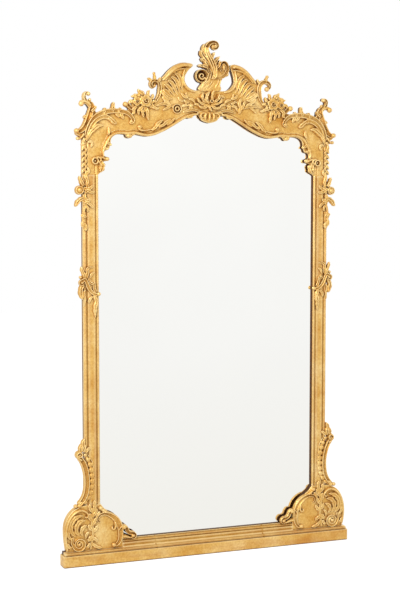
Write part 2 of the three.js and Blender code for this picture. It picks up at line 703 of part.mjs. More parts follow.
const bouquet = [
  { at: [-2, 1957], radius: 34, relief: 5 },
  { at: [-2, 1957], radius: 27, relief: 15, petals: 6 },
  { route: [[-20, 1962], [-38, 1966], [-56, 1962]], width: [8, 8, 3], relief: [8, 9, 5] },
  { route: [[-14, 1974], [-26, 1986], [-38, 1994]], width: [8, 7, 3], relief: [8, 9, 5] },
  { route: [[2, 1976], [8, 1986], [14, 1996]], width: [8, 7, 3], relief: [8, 10, 6] },
  { route: [[16, 1968], [34, 1978], [50, 1982]], width: [8, 8, 3], relief: [8, 10, 5] },
  { route: [[20, 1956], [38, 1956], [54, 1952]], width: [8, 7, 3], relief: [8, 9, 5] },
  { route: [[-16, 1944], [-26, 1932], [-30, 1920]], width: [8, 7, 4], relief: [8, 9, 6] },
  { route: [[10, 1942], [18, 1930], [22, 1918]], width: [8, 7, 4], relief: [8, 9, 6] },
];
plant("crest_bouquet", bouquet, 1);

const centreLip = [
  { outline: [[-46, 1898], [-41, 1880], [-27, 1870], [0, 1864], [24, 1870], [38, 1880], [43, 1898],
    [24, 1908], [-26, 1908]], relief: 6 },
  { route: [...curl(-34, 1881, 8, 90, -0.9), [-20, 1892], [-4, 1902]], width: [3, 4, 4], relief: [11, 11, 9] },
  { route: [...curl(30, 1881, 8, 90, 0.9), [16, 1892], [2, 1902]], width: [3, 4, 4], relief: [11, 11, 9] },
  { at: [-2, 1876], radius: 9, relief: 13 },
];
plant("centre_lip", centreLip, 1);

const garland = [
  { route: [[52, 1912], [76, 1924], [100, 1922], [118, 1914]], width: [4, 5, 3], relief: [6, 8, 5] },
  { route: [[48, 1936], [70, 1944], [96, 1946], [114, 1938]], width: [4, 4, 3], relief: [6, 7, 5] },
  { at: [88, 1933], radius: 13, relief: 9 },
];
for (const [word, side] of sides) plant(`garland_${word}`, garland, side);

plant("rosette_left", [
  { at: [148, 1920], radius: 21, relief: 11, petals: 8 },
  { route: [[152, 1921], [176, 1931], [216, 1939], [240, 1930]], width: [5, 4, 3], relief: [5, 6, 4] },
], -1);
plant("leaf_cluster_right", [
  { route: [[134, 1908], [138, 1930], [132, 1950], [140, 1968]], width: [5, 8, 4], relief: [6, 10, 6] },
  { route: [[138, 1930], [152, 1938], [160, 1950]], width: [6, 6, 3], relief: [6, 9, 5] },
  { route: [[140, 1924], [160, 1932], [200, 1936], [240, 1930]], width: [5, 4, 3], relief: [5, 6, 4] },
], 1);

// ---------- carving planted on the corners ----------
const spray = [
  { outline: [[264, 1936], [270, 1958], [288, 1972], [316, 1968], [342, 1950], [348, 1932],
    [326, 1912], [294, 1908]], relief: 5 },
  { at: [303, 1958], radius: 19, relief: 14, petals: 6 },
  { at: [330, 1940], radius: 15, relief: 12, petals: 5 },
  { at: [302, 1925], radius: 15, relief: 12, petals: 5 },
  { at: [277, 1943], radius: 13, relief: 11, petals: 5 },
  { route: [[290, 1962], [283, 1976], [276, 1990]], width: [7, 6, 2], relief: [8, 9, 5] },
  { route: [[308, 1966], [320, 1984], [334, 2000]], width: [8, 8, 2], relief: [8, 10, 5] },
  { route: [[326, 1950], [338, 1960], [346, 1972]], width: [7, 6, 2], relief: [8, 9, 5] },
  { route: [[336, 1934], [350, 1942], [362, 1952]], width: [6, 5, 2], relief: [7, 8, 5] },
  { route: [[292, 1918], [284, 1902], [287, 1886]], width: [7, 6, 2], relief: [7, 8, 4] },
  { route: [[312, 1918], [322, 1902], [324, 1886]], width: [7, 6, 2], relief: [7, 8, 4] },
];
for (const [word, side] of sides) plant(`flower_spray_${word}`, spray, side);
for (const [word, side] of sides) plant(`ear_scroll_${word}`, [...earScroll, ...earSpurs], side);

const cornerAcanthus = [
  { route: [[541, 1792], [530, 1825], [512, 1858], [490, 1877], [464, 1883], [442, 1874], [424, 1860]],
    width: [3, 5, 3], relief: [5, 8, 5] },
  { route: [[528, 1826], [512, 1824], [498, 1836], [484, 1846], [468, 1846]],
    width: [4, 4, 5, 3], relief: [5, 6, 7, 4] },
  { route: [[516, 1824], [510, 1812], [512, 1800]], width: [4, 4, 3], relief: [5, 6, 4] },
  { route: [[464, 1883], [440, 1893], [414, 1896], [392, 1886], [380, 1874]],
    width: [4, 4.5, 3], relief: [6, 8, 5] },
  { route: [[414, 1896], [380, 1903], [356, 1888], [346, 1872], [352, 1858]],
    width: [4, 5, 3], relief: [6, 8, 5] },
  { route: [[541, 1792], [534, 1778], [541, 1762]], width: [5, 6, 3], relief: [5, 7, 4] },
  ...edgeLeaves,
];
for (const [word, side] of sides) plant(`corner_acanthus_${word}`, cornerAcanthus, side);

const sightDrop = [
  { route: [...curl(509, 1698, 11, 60, -1.0), [512, 1716], [496, 1714], [476, 1712], [458, 1708]],
    width: [3, 5, 5], relief: [8, 9, 8] },
  { at: [458, 1706], radius: 8, relief: 11 },
  { at: [484, 1676], radius: 13, relief: 12 },
  { route: [[490, 1716], [487, 1690], [486, 1664], [489, 1650]], width: [8, 8, 3], relief: [8, 10, 6] },
];
for (const [word, side] of sides) plant(`sight_drop_${word}`, sightDrop, side);

const sightLip = [
  { route: [[474, 1728], [474, 1742], [456, 1758], [448, 1778], [441, 1798], [420, 1815], [394, 1820],
    [362, 1815], [326, 1818], [302, 1812], [278, 1812], [250, 1817], [226, 1826], [200, 1838],
    [173, 1853], [148, 1868], [122, 1883], [100, 1893], [72, 1903], [54, 1902]],
    width: [4, 5.5, 4], relief: [5, 5, 5] },
  { at: [361, 1806], radius: 11, relief: 8 },
  { at: [315, 1841], radius: 11, relief: 8 },
  { route: [[318, 1812], [317, 1841]], width: [4, 4], relief: [5, 5] },
  { route: [[315, 1841], [290, 1832], [262, 1834], [238, 1842], [222, 1860], [206, 1872], [194, 1858]],
    width: [4, 4, 4], relief: [4, 6, 7] },
  { route: [[222, 1860], [200, 1852], [180, 1866], [168, 1878]], width: [4, 4, 3], relief: [5, 7, 4] },
];
for (const [word, side] of sides) plant(`sight_lip_${word}`, sightLip, side);

// ---------- carving planted on the stiles ----------
const flowerDrop = [
  { at: [581, 1578], radius: 18, relief: 15 },
  { at: [551, 1576], radius: 15, relief: 12, petals: 5 },
  { at: [552, 1528], radius: 14, relief: 12, petals: 5 },
  { route: [[556, 1540], [572, 1534], [590, 1516]], width: [8, 9, 5], relief: [7, 9, 6] },
  { route: [[556, 1590], [568, 1612], [576, 1632]], width: [7, 7, 3], relief: [7, 9, 5] },
  { route: [[553, 1660], [546, 1640], [552, 1614], [554, 1590]], width: [5, 6, 6], relief: [5, 7, 7] },
  { at: [562, 1472], radius: 13, relief: 12 },
  { route: [[554, 1520], [558, 1496], [562, 1472], [561, 1440], [558, 1408]], width: [6, 6, 2], relief: [6, 8, 4] },
  { route: [[551, 1576], [534, 1572], [520, 1584]], width: [6, 5, 2], relief: [7, 7, 4] },
  { route: [[552, 1528], [536, 1524], [528, 1510]], width: [6, 5, 2], relief: [7, 7, 4] },
  { at: [553, 1553], radius: 13, relief: 6 },
  { route: [[581, 1578], [551, 1576]], width: [8, 8, 8], relief: [6, 6, 6] },
];
const middleOrnament = [
  { route: [...curl(577, 1197, 9, 75, 1.0), [566, 1207], [555, 1199], [546, 1176], [536, 1154],
    [520, 1140], [506, 1136]], width: [3, 5, 4], relief: [8, 10, 7] },
  { route: [...curl(532, 1206, 7, 200, 1.0), [528, 1190], [518, 1168], [505, 1154]],
    width: [2.5, 5, 4], relief: [7, 9, 8] },
  { at: [496, 1151], radius: 10, relief: 13 },
  { route: [[566, 1196], [576, 1170], [576, 1146], [570, 1124]], width: [6, 5, 2], relief: [7, 8, 4] },
  { route: [[545, 1176], [528, 1172], [520, 1160]], width: [4, 4, 4], relief: [5, 5, 5] },
  { route: [[518, 1140], [512, 1110], [513, 1078], [516, 1046]], width: [6, 7, 2], relief: [7, 8, 4] },
  { route: [[555, 1200], [562, 1226], [571, 1252], [574, 1258]], width: [4, 4, 4], relief: [5, 6, 6] },
  { route: [[532, 1212], [536, 1236], [530, 1256]], width: [4, 4, 2], relief: [5, 6, 4] },
];
const sideBracket = [
  { route: [...curl(586, 471, 11, 330, -1.1), [572, 448], [556, 420], [547, 380], [547, 335],
    [554, 296], [572, 272], [596, 263]],
    width: [3, 3, 4, 8, 13, 14, 14, 11, 6], relief: [11, 11, 11, 10, 9, 9, 9, 9, 9] },
  { at: [586, 471], radius: 6, relief: 13 },
  { at: [598, 264], radius: 8, relief: 11 },
  { route: [[578, 474], [573, 490], [577, 506], [569, 526]], width: [7, 7, 2], relief: [6, 8, 4] },
  { route: [[552, 448], [538, 416], [533, 370], [533, 325], [541, 288]], width: [5, 7, 5], relief: [8, 13, 8] },
];

// the bracket's ends, where they hang over the stile's edge
const bracketEnds = [
  { at: [586, 471], radius: 18 },
  { route: [[582, 462], [570, 444], [556, 418]], width: [10, 12, 12] },
  { route: [[554, 296], [572, 272], [594, 264]], width: [13, 11, 8] },
];

for (const [word, side] of sides) {
  plant(`flower_drop_${word}`, flowerDrop, side);
  plant(`middle_ornament_${word}`, middleOrnament, side);
  plant(`side_bracket_${word}`, sideBracket, side, { wrap: bracketEnds });
}

// ---------- carving planted on the base boards ----------
const outerLobe = [
  { route: [[566, 214], [584, 232], [608, 232], [632, 216], [647, 190], [652, 158], [651, 120],
    [647, 90], [643, 70]], width: [5, 7.5, 6], relief: [9, 13, 9] },
  { route: [...curl(586, 96, 27, 340, 1.35), [614, 108], [620, 130], [606, 146]],
    width: [3.5, 6, 4], relief: [12, 13, 8] },
  { at: [586, 96], radius: 9, relief: 14 },
  { route: [[600, 138], [614, 166], [608, 198], [596, 216]], width: [5, 7, 3], relief: [6, 9, 5] },
  { route: [[612, 134], [630, 160], [634, 186], [628, 202]], width: [5, 6, 3], relief: [6, 8, 4] },
  { route: [[600, 140], [586, 166], [580, 192], [586, 212]], width: [5, 7, 3], relief: [6, 9, 5] },
  { route: [[592, 136], [570, 156], [558, 184], [562, 208]], width: [5, 6, 3], relief: [6, 8, 4] },
  { route: [[610, 78], [624, 72], [640, 74]], width: [4, 5, 5], relief: [6, 8, 6] },
];
const innerLobe = [
  { route: [[500, 240], [484, 232], [464, 218], [444, 200], [426, 177], [413, 150], [406, 120],
    [408, 92], [418, 72], [434, 68]], width: [5, 8, 5], relief: [9, 12, 9] },
  { at: [499, 243], radius: 9, relief: 14 },
  { at: [437, 72], radius: 9, relief: 12 },
  { route: [...curl(486, 190, 9, 80, 1.0), [474, 204], [462, 214]], width: [3, 4, 4], relief: [8, 9, 6] },
  { at: [486, 190], radius: 7, relief: 9 },
  { route: [[412, 148], [398, 148], [388, 154]], width: [6, 5, 3], relief: [7, 7, 5] },
  { route: [[408, 128], [392, 118], [376, 104], [360, 100], [350, 106], [352, 116]],
    width: [6, 5, 4], relief: [8, 9, 9] },
];
const middleLeaves = [
  { route: [[540, 68], [538, 100], [530, 140], [540, 180], [534, 216]], width: [8, 7, 4], relief: [6, 8, 6] },
  { route: [[536, 110], [520, 96], [500, 84], [484, 72]], width: [6, 6, 3], relief: [6, 7, 4] },
  { route: [[532, 150], [516, 168], [508, 190]], width: [5, 6, 3], relief: [6, 7, 4] },
  { route: [[534, 130], [552, 118], [556, 96]], width: [5, 5, 3], relief: [6, 7, 4] },
];

for (const [word, side] of sides) {
  plant(`base_outer_scroll_${word}`, outerLobe, side, { plane: baseFaceY });
  plant(`base_inner_scroll_${word}`, innerLobe, side, { plane: baseFaceY });
  plant(`base_leaves_${word}`, middleLeaves, side, { plane: baseFaceY });
}

// ---------- plate and backboards ----------
add("mirror_plate", board(plateOutline(0), plateFront, plateBack), silvered);

function backboards() {
  const outline = backboardOutline(0);
  const whole = board(outline, stepY, stepY + backboardThickness);
  const top = Math.max(...outline.map(([, z]) => z));
  const pitch = (top - backboardFoot) / backboardCount;
  for (let i = 0; i < backboardCount; i++) {
    const low = backboardFoot + i * pitch;
    const high = low + pitch - (i < backboardCount - 1 ? backboardGap : 0);
    const slice = box(-stileOuter, stileOuter, stepY - 1, frameBack, low, high);
    add(`backboard_${i + 1}`, whole.intersect(slice), pine);
  }
}
backboards();

// ---------- wall hangers: a screwed strap with a ring that swings in its knuckle ----------
const knuckleRadius = ringWire / 2 + fitGap + strapThickness;
const ringAxisY = frameBack + knuckleRadius;

function hangerStrap(x) {
  const plate = box(x - strapWidth / 2, x + strapWidth / 2, frameBack, frameBack + strapThickness,
    hangerLevel - strapLength, hangerLevel);
  const web = box(x - knuckleWidth / 2, x + knuckleWidth / 2, frameBack, frameBack + strapThickness,
    hangerLevel, hangerLevel + knuckleRadius);
  const middle = hangerLevel + knuckleRadius;
  const barrel = cylinder(knuckleRadius, [x - knuckleWidth / 2, ringAxisY, middle],
    [x + knuckleWidth / 2, ringAxisY, middle], 16);
  const bore = cylinder(ringWire / 2 + fitGap, [x - strapWidth, ringAxisY, middle],
    [x + strapWidth, ringAxisY, middle], 16);
  const holes = screwHoles(x, frameBack - 1, frameBack + strapThickness + 1);
  return join([plate, web, barrel]).subtract(bore).subtract(holes);
}

// A round-headed screw, driven forwards into the stile.
function hangerScrew(x, z) {
  const under = frameBack + strapThickness;
  const tip = frameBack - screwDepth;
  const profile = [
    [0, tip], [screwShank / 2, tip + 3], [screwShank / 2, under], [screwHead / 2, under],
    [screwHead * 0.36, under + screwHeadHeight], [0, under + screwHeadHeight],
  ];
  const geometry = new THREE.LatheGeometry(profile.map(([r, y]) => new THREE.Vector2(r, y)), 10);
  geometry.translate(x, 0, z);
  return solidFromGeometry(geometry);
}

// The ring is made hanging from the origin, with its straight bar on the hinge axis.
function hangerRing() {
  const half = ringWidth / 2;
  const bend = ringDrop - ringWire;
  const points = [[-half, 0], [half, 0]];
  const steps = 8;
  for (let i = 1; i < steps; i++) {
    const angle = (i / steps) * Math.PI;
    points.push([half * Math.cos(angle), -bend * (0.35 + 0.65 * Math.sin(angle))]);
  }
  return loop(points, ringWire / 2, 8);
}

// A closed loop of round wire through [x, z] points.
function loop(points, radius, sides) {
  const count = points.length;
  const positions = [];
  const triangles = [];
  points.forEach(([x, z], i) => {
    const before = points[(i + count - 1) % count];
    const after = points[(i + 1) % count];
    const inward = new THREE.Vector2(x - before[0], z - before[1]).normalize();
    const outward = new THREE.Vector2(after[0] - x, after[1] - z).normalize();
    const tangent = inward.clone().add(outward).normalize();
    const mitre = 1 / Math.max(0.6, tangent.dot(outward));
    for (let j = 0; j < sides; j++) {
      const angle = ((j + 0.5) / sides) * 2 * Math.PI;
      const out = radius * Math.cos(angle) * mitre;
      positions.push([x + tangent.y * out, radius * Math.sin(angle), z - tangent.x * out]);
    }
  });
  for (let i = 0; i < count; i++) {
    const next = (i + 1) % count;
    for (let j = 0; j < sides; j++) {
      const k = (j + 1) % sides;
      triangles.push([i * sides + j, i * sides + k, next * sides + k]);
      triangles.push([i * sides + j, next * sides + k, next * sides + j]);
    }
  }
  return solidFromTriangles(positions, triangles);
}

for (const [word, side] of sides) {
  const x = side * hangerAcross;
  add(`hanger_strap_${word}`, hangerStrap(x), brass);
  screwLevels.forEach((z, i) => add(`hanger_screw_${word}_${i + 1}`, hangerScrew(x, z), steel));
  const swing = new THREE.Group();
  swing.position.set(x, ringAxisY, hangerLevel + knuckleRadius);
  pierMirror.add(swing);
  add(`hanger_ring_${word}`, hangerRing(), brass, swing);
}

export default pierMirror;
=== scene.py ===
"""The looks of a carved giltwood pier mirror, modelled and gilded round the frame's own parts.

Carved lines are drawn full size in [across, up] millimetres from the middle of the floor, on the
right half; a side of -1 mirrors them. They are fitted to the frame's parts, so they stay on them.
"""
import json
import math

import bmesh
import bpy
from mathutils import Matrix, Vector

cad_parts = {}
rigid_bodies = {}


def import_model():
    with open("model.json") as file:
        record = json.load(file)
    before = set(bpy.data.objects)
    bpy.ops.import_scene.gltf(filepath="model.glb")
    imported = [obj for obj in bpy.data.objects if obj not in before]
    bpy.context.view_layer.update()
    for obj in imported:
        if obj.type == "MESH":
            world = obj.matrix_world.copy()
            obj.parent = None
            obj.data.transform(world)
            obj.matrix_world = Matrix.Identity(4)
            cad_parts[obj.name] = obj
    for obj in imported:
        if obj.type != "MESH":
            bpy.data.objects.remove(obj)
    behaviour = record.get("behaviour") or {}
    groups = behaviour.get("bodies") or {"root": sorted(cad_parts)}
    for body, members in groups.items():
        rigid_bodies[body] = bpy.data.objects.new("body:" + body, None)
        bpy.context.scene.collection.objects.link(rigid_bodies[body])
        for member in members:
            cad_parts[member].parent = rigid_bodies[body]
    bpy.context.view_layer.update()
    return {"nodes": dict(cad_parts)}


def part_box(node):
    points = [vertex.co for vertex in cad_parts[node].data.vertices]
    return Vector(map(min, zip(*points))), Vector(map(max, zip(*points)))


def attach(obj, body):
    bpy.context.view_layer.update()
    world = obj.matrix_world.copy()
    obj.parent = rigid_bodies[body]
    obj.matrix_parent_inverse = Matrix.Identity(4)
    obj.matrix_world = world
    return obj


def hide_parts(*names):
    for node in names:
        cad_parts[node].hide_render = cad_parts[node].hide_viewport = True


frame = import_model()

bl_info = {
    "name": "Giltwood pier mirror",
    "version": (1, 0, 0),
    "blender": (4, 5, 0),
    "location": "3D View > Sidebar > Pier mirror",
    "description": "Carves and gilds a rococo pier mirror round its joinery",
    "category": "Add Mesh",
}

MM = 0.001
SIDES = (("left", -1), ("right", 1))

# ---------- the frame's own planes and lines ----------
right_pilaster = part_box("pilaster_right")
base_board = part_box("base_board_right")
crest_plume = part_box("crest_plume")
plate_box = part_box("mirror_plate")

FACE = right_pilaster[0].y  # the plane that most carving is planted on
BASE_FACE = base_board[0].y  # the face of the base boards
FRAME_BACK = base_board[1].y
SLACK = 0.3 * MM  # room round the plate and the backboards in their rebates
REBATE = plate_box[0].y - SLACK  # the front wall of the plate's rebate
BOARD_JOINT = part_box("corner_board_right")[0].x  # where the corner boards meet the crest board
STILE_TOP = right_pilaster[1].z  # where they sit on the pilasters

# each datum of the drawing beside the place it is fitted to
ACROSS = [
    (0, 0.0), (250, BOARD_JOINT), (398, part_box("sight_rail_bottom")[1].x), (493, right_pilaster[0].x),
    (561, right_pilaster[1].x),
]
UP = [
    (0, 0.0), (61, base_board[0].z), (255, right_pilaster[0].z), (1643, STILE_TOP),
    (2208, crest_plume[1].z),
]


def fitted(value, datums):
    """A drawing coordinate in metres, fitted between the datum lines on either side of it."""
    size = abs(value)
    index = 1
    while index < len(datums) - 1 and size > datums[index][0]:
        index += 1
    (low, low_at), (high, high_at) = datums[index - 1], datums[index]
    if size > datums[-1][0]:
        return math.copysign(datums[-1][1] + (size - datums[-1][0]) * MM, value)
    return math.copysign(low_at + (size - low) / (high - low) * (high_at - low_at), value)


# ---------- curves ----------
FINE = 12  # points worked out between two points of a route
OUTLINE_STEP = 4.0  # mm between points of an outline
TURN_STEPS = 10  # points in a turn of a spiral


def lerp(a, b, share):
    return a + (b - a) * share


def along(values, share):
    """A value at a share of the way along a few values spread evenly."""
    spot = min(max(share, 0), 1) * (len(values) - 1)
    low = min(int(spot), len(values) - 2)
    return lerp(values[low], values[low + 1], spot - low)


def smooth(route, spacing, closed=False):
    """Points at an even spacing on a smooth curve through a route of [across, up] points."""
    points = [Vector(point) for point in route]
    if closed:
        ends = [points[-1], *points, points[0], points[1]]
    else:
        ends = [points[0] * 2 - points[1], *points, points[-1] * 2 - points[-2]]
    fine = []
    for p0, p1, p2, p3 in zip(ends, ends[1:], ends[2:], ends[3:]):
        t1 = (p1 - p0).length ** 0.5
        t2 = t1 + (p2 - p1).length ** 0.5
        t3 = t2 + (p3 - p2).length ** 0.5
        for step in range(FINE):
            t = lerp(t1, t2, step / FINE)
            a1 = lerp(p0, p1, t / t1)
            a2 = lerp(p1, p2, (t - t1) / (t2 - t1))
            a3 = lerp(p2, p3, (t - t2) / (t3 - t2))
            b1, b2 = lerp(a1, a2, t / t2), lerp(a2, a3, (t - t1) / (t3 - t1))
            fine.append(lerp(b1, b2, (t - t1) / (t2 - t1)))
    fine.append(points[0] if closed else points[-1])
    length = sum((b - a).length for a, b in zip(fine, fine[1:]))
    count = max(2, round(length / spacing))
    even, walked, index = [fine[0]], 0.0, 0
    for k in range(1, count):
        target = length * k / count
        while walked + (fine[index + 1] - fine[index]).length < target:
            walked += (fine[index + 1] - fine[index]).length
            index += 1
        step = (fine[index + 1] - fine[index]).length
        even.append(lerp(fine[index], fine[index + 1], (target - walked) / step))
    return even if closed else [*even, fine[-1]]


def stations(route, spacing):
    """(point, tangent, share, walked, left) along a smooth route."""
    points = smooth(route, spacing)
    lengths = [0.0]
    for a, b in zip(points, points[1:]):
        lengths.append(lengths[-1] + (b - a).length)
    made = []
    for index, point in enumerate(points):
        before = points[max(index - 1, 0)]
        after = points[min(index + 1, len(points) - 1)]
        tangent = (after - before).normalized()
        walked = lengths[index]
        made.append((point, tangent, walked / lengths[-1], walked, lengths[-1] - walked))
    return made


def around(at, reach, angle):
    """The point at a reach and an angle in radians from another."""
    return at[0] + reach * math.cos(angle), at[1] + reach * math.sin(angle)


def coil(across, up, radius, leaves, turns, eye=0.22):
    """A spiral from its eye outwards. It leaves the circle at an angle in degrees from across."""
    count = math.ceil(abs(turns) * TURN_STEPS)
    points = []
    for step in range(count + 1):
        share = step / count
        angle = math.radians(leaves - 360 * turns * (1 - share))
        reach = radius * lerp(eye, 1, share)
        points.append(around((across, up), reach, angle))
    return points


# ---------- sections of carved scrolls, as (across, rise) from edge to edge ----------
HOLLOW = [
    (-1, 0.25), (-0.97, 0.62), (-0.85, 0.82), (-0.68, 0.82), (-0.5, 0.7), (-0.25, 0.6), (0.1, 0.6),
    (0.38, 0.72), (0.56, 0.92), (0.74, 1.0), (0.92, 0.86), (1, 0.45),
]
RIDGED = [
    (-1, 0.15), (-0.86, 0.55), (-0.6, 0.86), (-0.34, 0.92), (-0.08, 0.66), (0.1, 0.66),
    (0.34, 0.97), (0.6, 0.92), (0.86, 0.6), (1, 0.15),
]
RIM = [
    (-1, 0.62), (-0.9, 0.84), (-0.6, 0.98), (-0.15, 1.0), (0.25, 0.9), (0.5, 0.72), (0.66, 0.42),
    (0.84, 0.42), (1, 0.2),
]
LIP = [
    (-1, 0.55), (-0.92, 0.8), (-0.68, 0.97), (-0.35, 1.0), (-0.02, 0.86), (0.22, 0.56), (0.42, 0.36),
    (0.62, 0.42), (0.82, 0.5), (1, 0.2),
]
ROUND = [(math.cos(math.pi * (1 - k / 8)), math.sin(math.pi * k / 8)) for k in range(9)]
STEP = 3.0  # mm between a scroll's stations
SINK = 2.5  # mm that carving is let into what it is planted on
EASED_EDGE = 3.0  # mm that the top of a ground is smaller than its foot, all round
CARVING_EASE = 4  # passes of softening over carving
BOARD_EASE = 2  # and over sawn boards


def flipped(section):
    return [(-across, rise) for across, rise in reversed(section)]


# ---------- bodies ----------
def sweep(bm, rings):
    """A closed body through rings of points, each extruded from the one before."""
    face = bm.faces.new([bm.verts.new(point) for point in rings[0]])
    for index, ring in enumerate(rings[1:]):
        made = bmesh.ops.extrude_face_region(bm, geom=[face])["geom"]
        if index:
            bm.faces.remove(face)
        face = next(item for item in made if isinstance(item, bmesh.types.BMFace))
        for vert, point in zip(face.verts, ring):
            vert.co = point


def slab(bm, points, depth):
    """A closed body: an upright outline carried along Y by a depth. Returns its far face."""
    face = bm.faces.new([bm.verts.new(point) for point in points])
    made = bmesh.ops.extrude_face_region(bm, geom=[face])["geom"]
    moved = [item for item in made if isinstance(item, bmesh.types.BMVert)]
    bmesh.ops.translate(bm, verts=moved, vec=(0, depth, 0))
    return next(item for item in made if isinstance(item, bmesh.types.BMFace))


def to_object(bm, name):
    """Puts the bodies into the scene, with their faces turned outwards."""
    bmesh.ops.recalc_face_normals(bm, faces=bm.faces)
    mesh = bpy.data.meshes.new(name)
    bm.to_mesh(mesh)
    bm.free()
    piece = bpy.data.objects.new(name, mesh)
    bpy.context.scene.collection.objects.link(piece)
    return piece


class Carving:
    """Closed bodies drawn on one side of the frame, to be fused into one carved piece."""

    def __init__(self, side=1, plane=FACE):
        self.bm = bmesh.new()
        self.side = side
        self.plane = plane

    def point(self, across, up, out):
        return Vector((
            self.side * fitted(across, ACROSS), self.plane - out * MM, fitted(up, UP),
        ))

    def beside(self, point, tangent, shift, out):
        """The point that lies a shift to the side of a route."""
        return self.point(point.x + tangent.y * shift, point.y - tangent.x * shift, out)

    def scroll(self, route, width, relief, section=RIDGED, foot=-SINK, blunt=0.9):
        """A moulded strap along a route: half widths and reliefs are spread over its length."""
        rings = []
        for point, tangent, share, walked, left in stations(route, STEP):
            half = along(width, share)
            run = min(min(walked, left) / (half * blunt), 1)
            ease = math.sqrt(max(1 - (1 - run) ** 2, 0.05))
            out = along(relief, share)
            low = foot if isinstance(foot, (int, float)) else along(foot, share)
            profile = [(-1, 0.0), *section, (1, 0.0)]
            ring = []
            for offset, rise in profile:
                shift = offset * half * ease
                height = low if rise == 0.0 else lerp(low, out, rise) * lerp(0.55, 1, ease)
                ring.append(self.beside(point, tangent, shift, height))
            rings.append(ring)
        sweep(self.bm, rings)

    def volute(self, at, radius, leaves, turns, tail, width, relief, dish=0.35):
        """A scroll that ends in a spiral, rising to a round eye over a shallow dish."""
        spiral = coil(*at, radius - width[0], leaves, turns)
        route = [*spiral, *tail]
        eye = max(radius * 0.2, 3)
        widths = [width[0] * 0.55, width[0] * 0.8, width[0], *width]
        self.scroll(route, widths, relief, HOLLOW)
        self.boss(at, eye, relief[0] * 1.05)
        self.boss(at, radius * 0.82, relief[0] * dish, top=0.8)

    def leaf(self, route, width, relief, lobes, foot=-SINK, tip=0.3, flutes=0):
        """An acanthus leaf on a midrib: scalloped edges, puffed lobes and a lifted tip."""
        spine = stations(route, STEP)
        columns = max(lobes * 7, len(spine))
        made = bmesh.ops.create_grid(self.bm, x_segments=columns, y_segments=14, size=0.5)
        verts = made["verts"]
        faces = list({face for vert in verts for face in vert.link_faces})
        front = bmesh.ops.extrude_face_region(self.bm, geom=faces)["geom"]
        fronts = [item for item in front if isinstance(item, bmesh.types.BMVert)]
        for group, raised in ((verts, False), (fronts, True)):
            for vert in group:
                vert.co = self.leaf_point(spine, vert.co, width, relief, lobes, foot, tip, flutes, raised)

    def leaf_point(self, spine, grid, width, relief, lobes, foot, tip, flutes, raised):
        """Where a point of the flat grid goes: along the spine, out to the scallops and up the dome."""
        share, across = grid.x + 0.5, grid.y * 2
        edge = abs(across)
        swept = min(share + 0.09 * edge * math.sin(math.pi * share), 1)
        spot = swept * (len(spine) - 1)
        low = min(int(spot), len(spine) - 2)
        point = lerp(spine[low][0], spine[low + 1][0], spot - low)
        tangent = lerp(spine[low][1], spine[low + 1][1], spot - low).normalized()
        phase = (share * lobes) % 1 if share < 1 else 1
        scallop = math.sin(math.pi * min(phase * 0.92 + 0.04, 1)) ** 0.55
        half = along(width, share) * lerp(1, lerp(0.58, 1, scallop), edge ** 1.5)
        half *= math.sqrt(max(1 - share ** 10, 0.02))
        shift = across * half
        height = foot
        if raised:
            dome = (1 - edge ** 2.6) ** 0.5 if edge < 1 else 0
            vein = 0.32 * math.exp(-((across / 0.15) ** 2))
            puff = 0.24 * edge * (scallop - 0.5)
            ridge = 0.14 * math.cos(2 * math.pi * flutes * across) if flutes else 0
            lifted = 1 + tip * max(share - 0.7, 0) / 0.3
            swell = 0.25 + 0.75 * dome - vein + puff + ridge
            height = foot + (along(relief, share) - foot) * swell * lifted
        return self.beside(point, tangent, shift, max(height, foot))

    def ball(self, at, out, size, turn=0.0, lift=0.0, cup=0.0, segments=12):
        """An egg of (along, across, out) half sizes, turned in the drawing and tilted outwards."""
        made = bmesh.ops.create_uvsphere(self.bm, u_segments=segments, v_segments=segments // 2, radius=1)
        cos, sin = math.cos(turn), math.sin(turn)
        for vert in made["verts"]:
            x, y, z = vert.co
            run, reach, rise = x * size[0], y * size[1], z * size[2]
            rise += (run + size[0]) * math.tan(lift) + cup * (y * y + 0.4 * x * x) * size[1]
            across, up = run * cos - reach * sin, run * sin + reach * cos
            vert.co = self.point(at[0] + across, at[1] + up, out + rise)

    def boss(self, at, radius, relief, top=0.62, foot=-SINK):
        """A round boss, flat where it is planted."""
        turn = [2 * math.pi * k / 20 for k in range(20)]
        rings = []
        for share, rise in (
            (1, 0), (1, 0.4), (0.95, 0.72), (lerp(top, 1, 0.4), 0.9), (top, 0.97), (top * 0.5, 1),
        ):
            reach, out = radius * share, lerp(foot, relief, rise)
            rings.append([self.point(*around(at, reach, angle), out) for angle in turn])
        sweep(self.bm, rings)

    def blossom(self, at, radius, relief, petals, turn=0.3):
        """A flower: two rings of cupped petals round a heart."""
        self.boss(at, radius * 0.62, relief * 0.45)
        for layer, (size, rise, lift) in enumerate(((1, 0.3, 0.1), (0.62, 0.55, 0.42))):
            reach = radius * size
            for k in range(petals):
                angle = turn + 2 * math.pi * (k + 0.5 * layer) / petals
                spread = reach * min(math.sin(math.pi / petals) * 0.62, 0.46)
                self.ball(around(at, reach * 0.56, angle), relief * rise,
                          (reach * 0.44, spread, relief * 0.17), angle, lift=lift, cup=0.35)
        self.ball(at, relief * 0.78, (radius * 0.2, radius * 0.2, relief * 0.26))

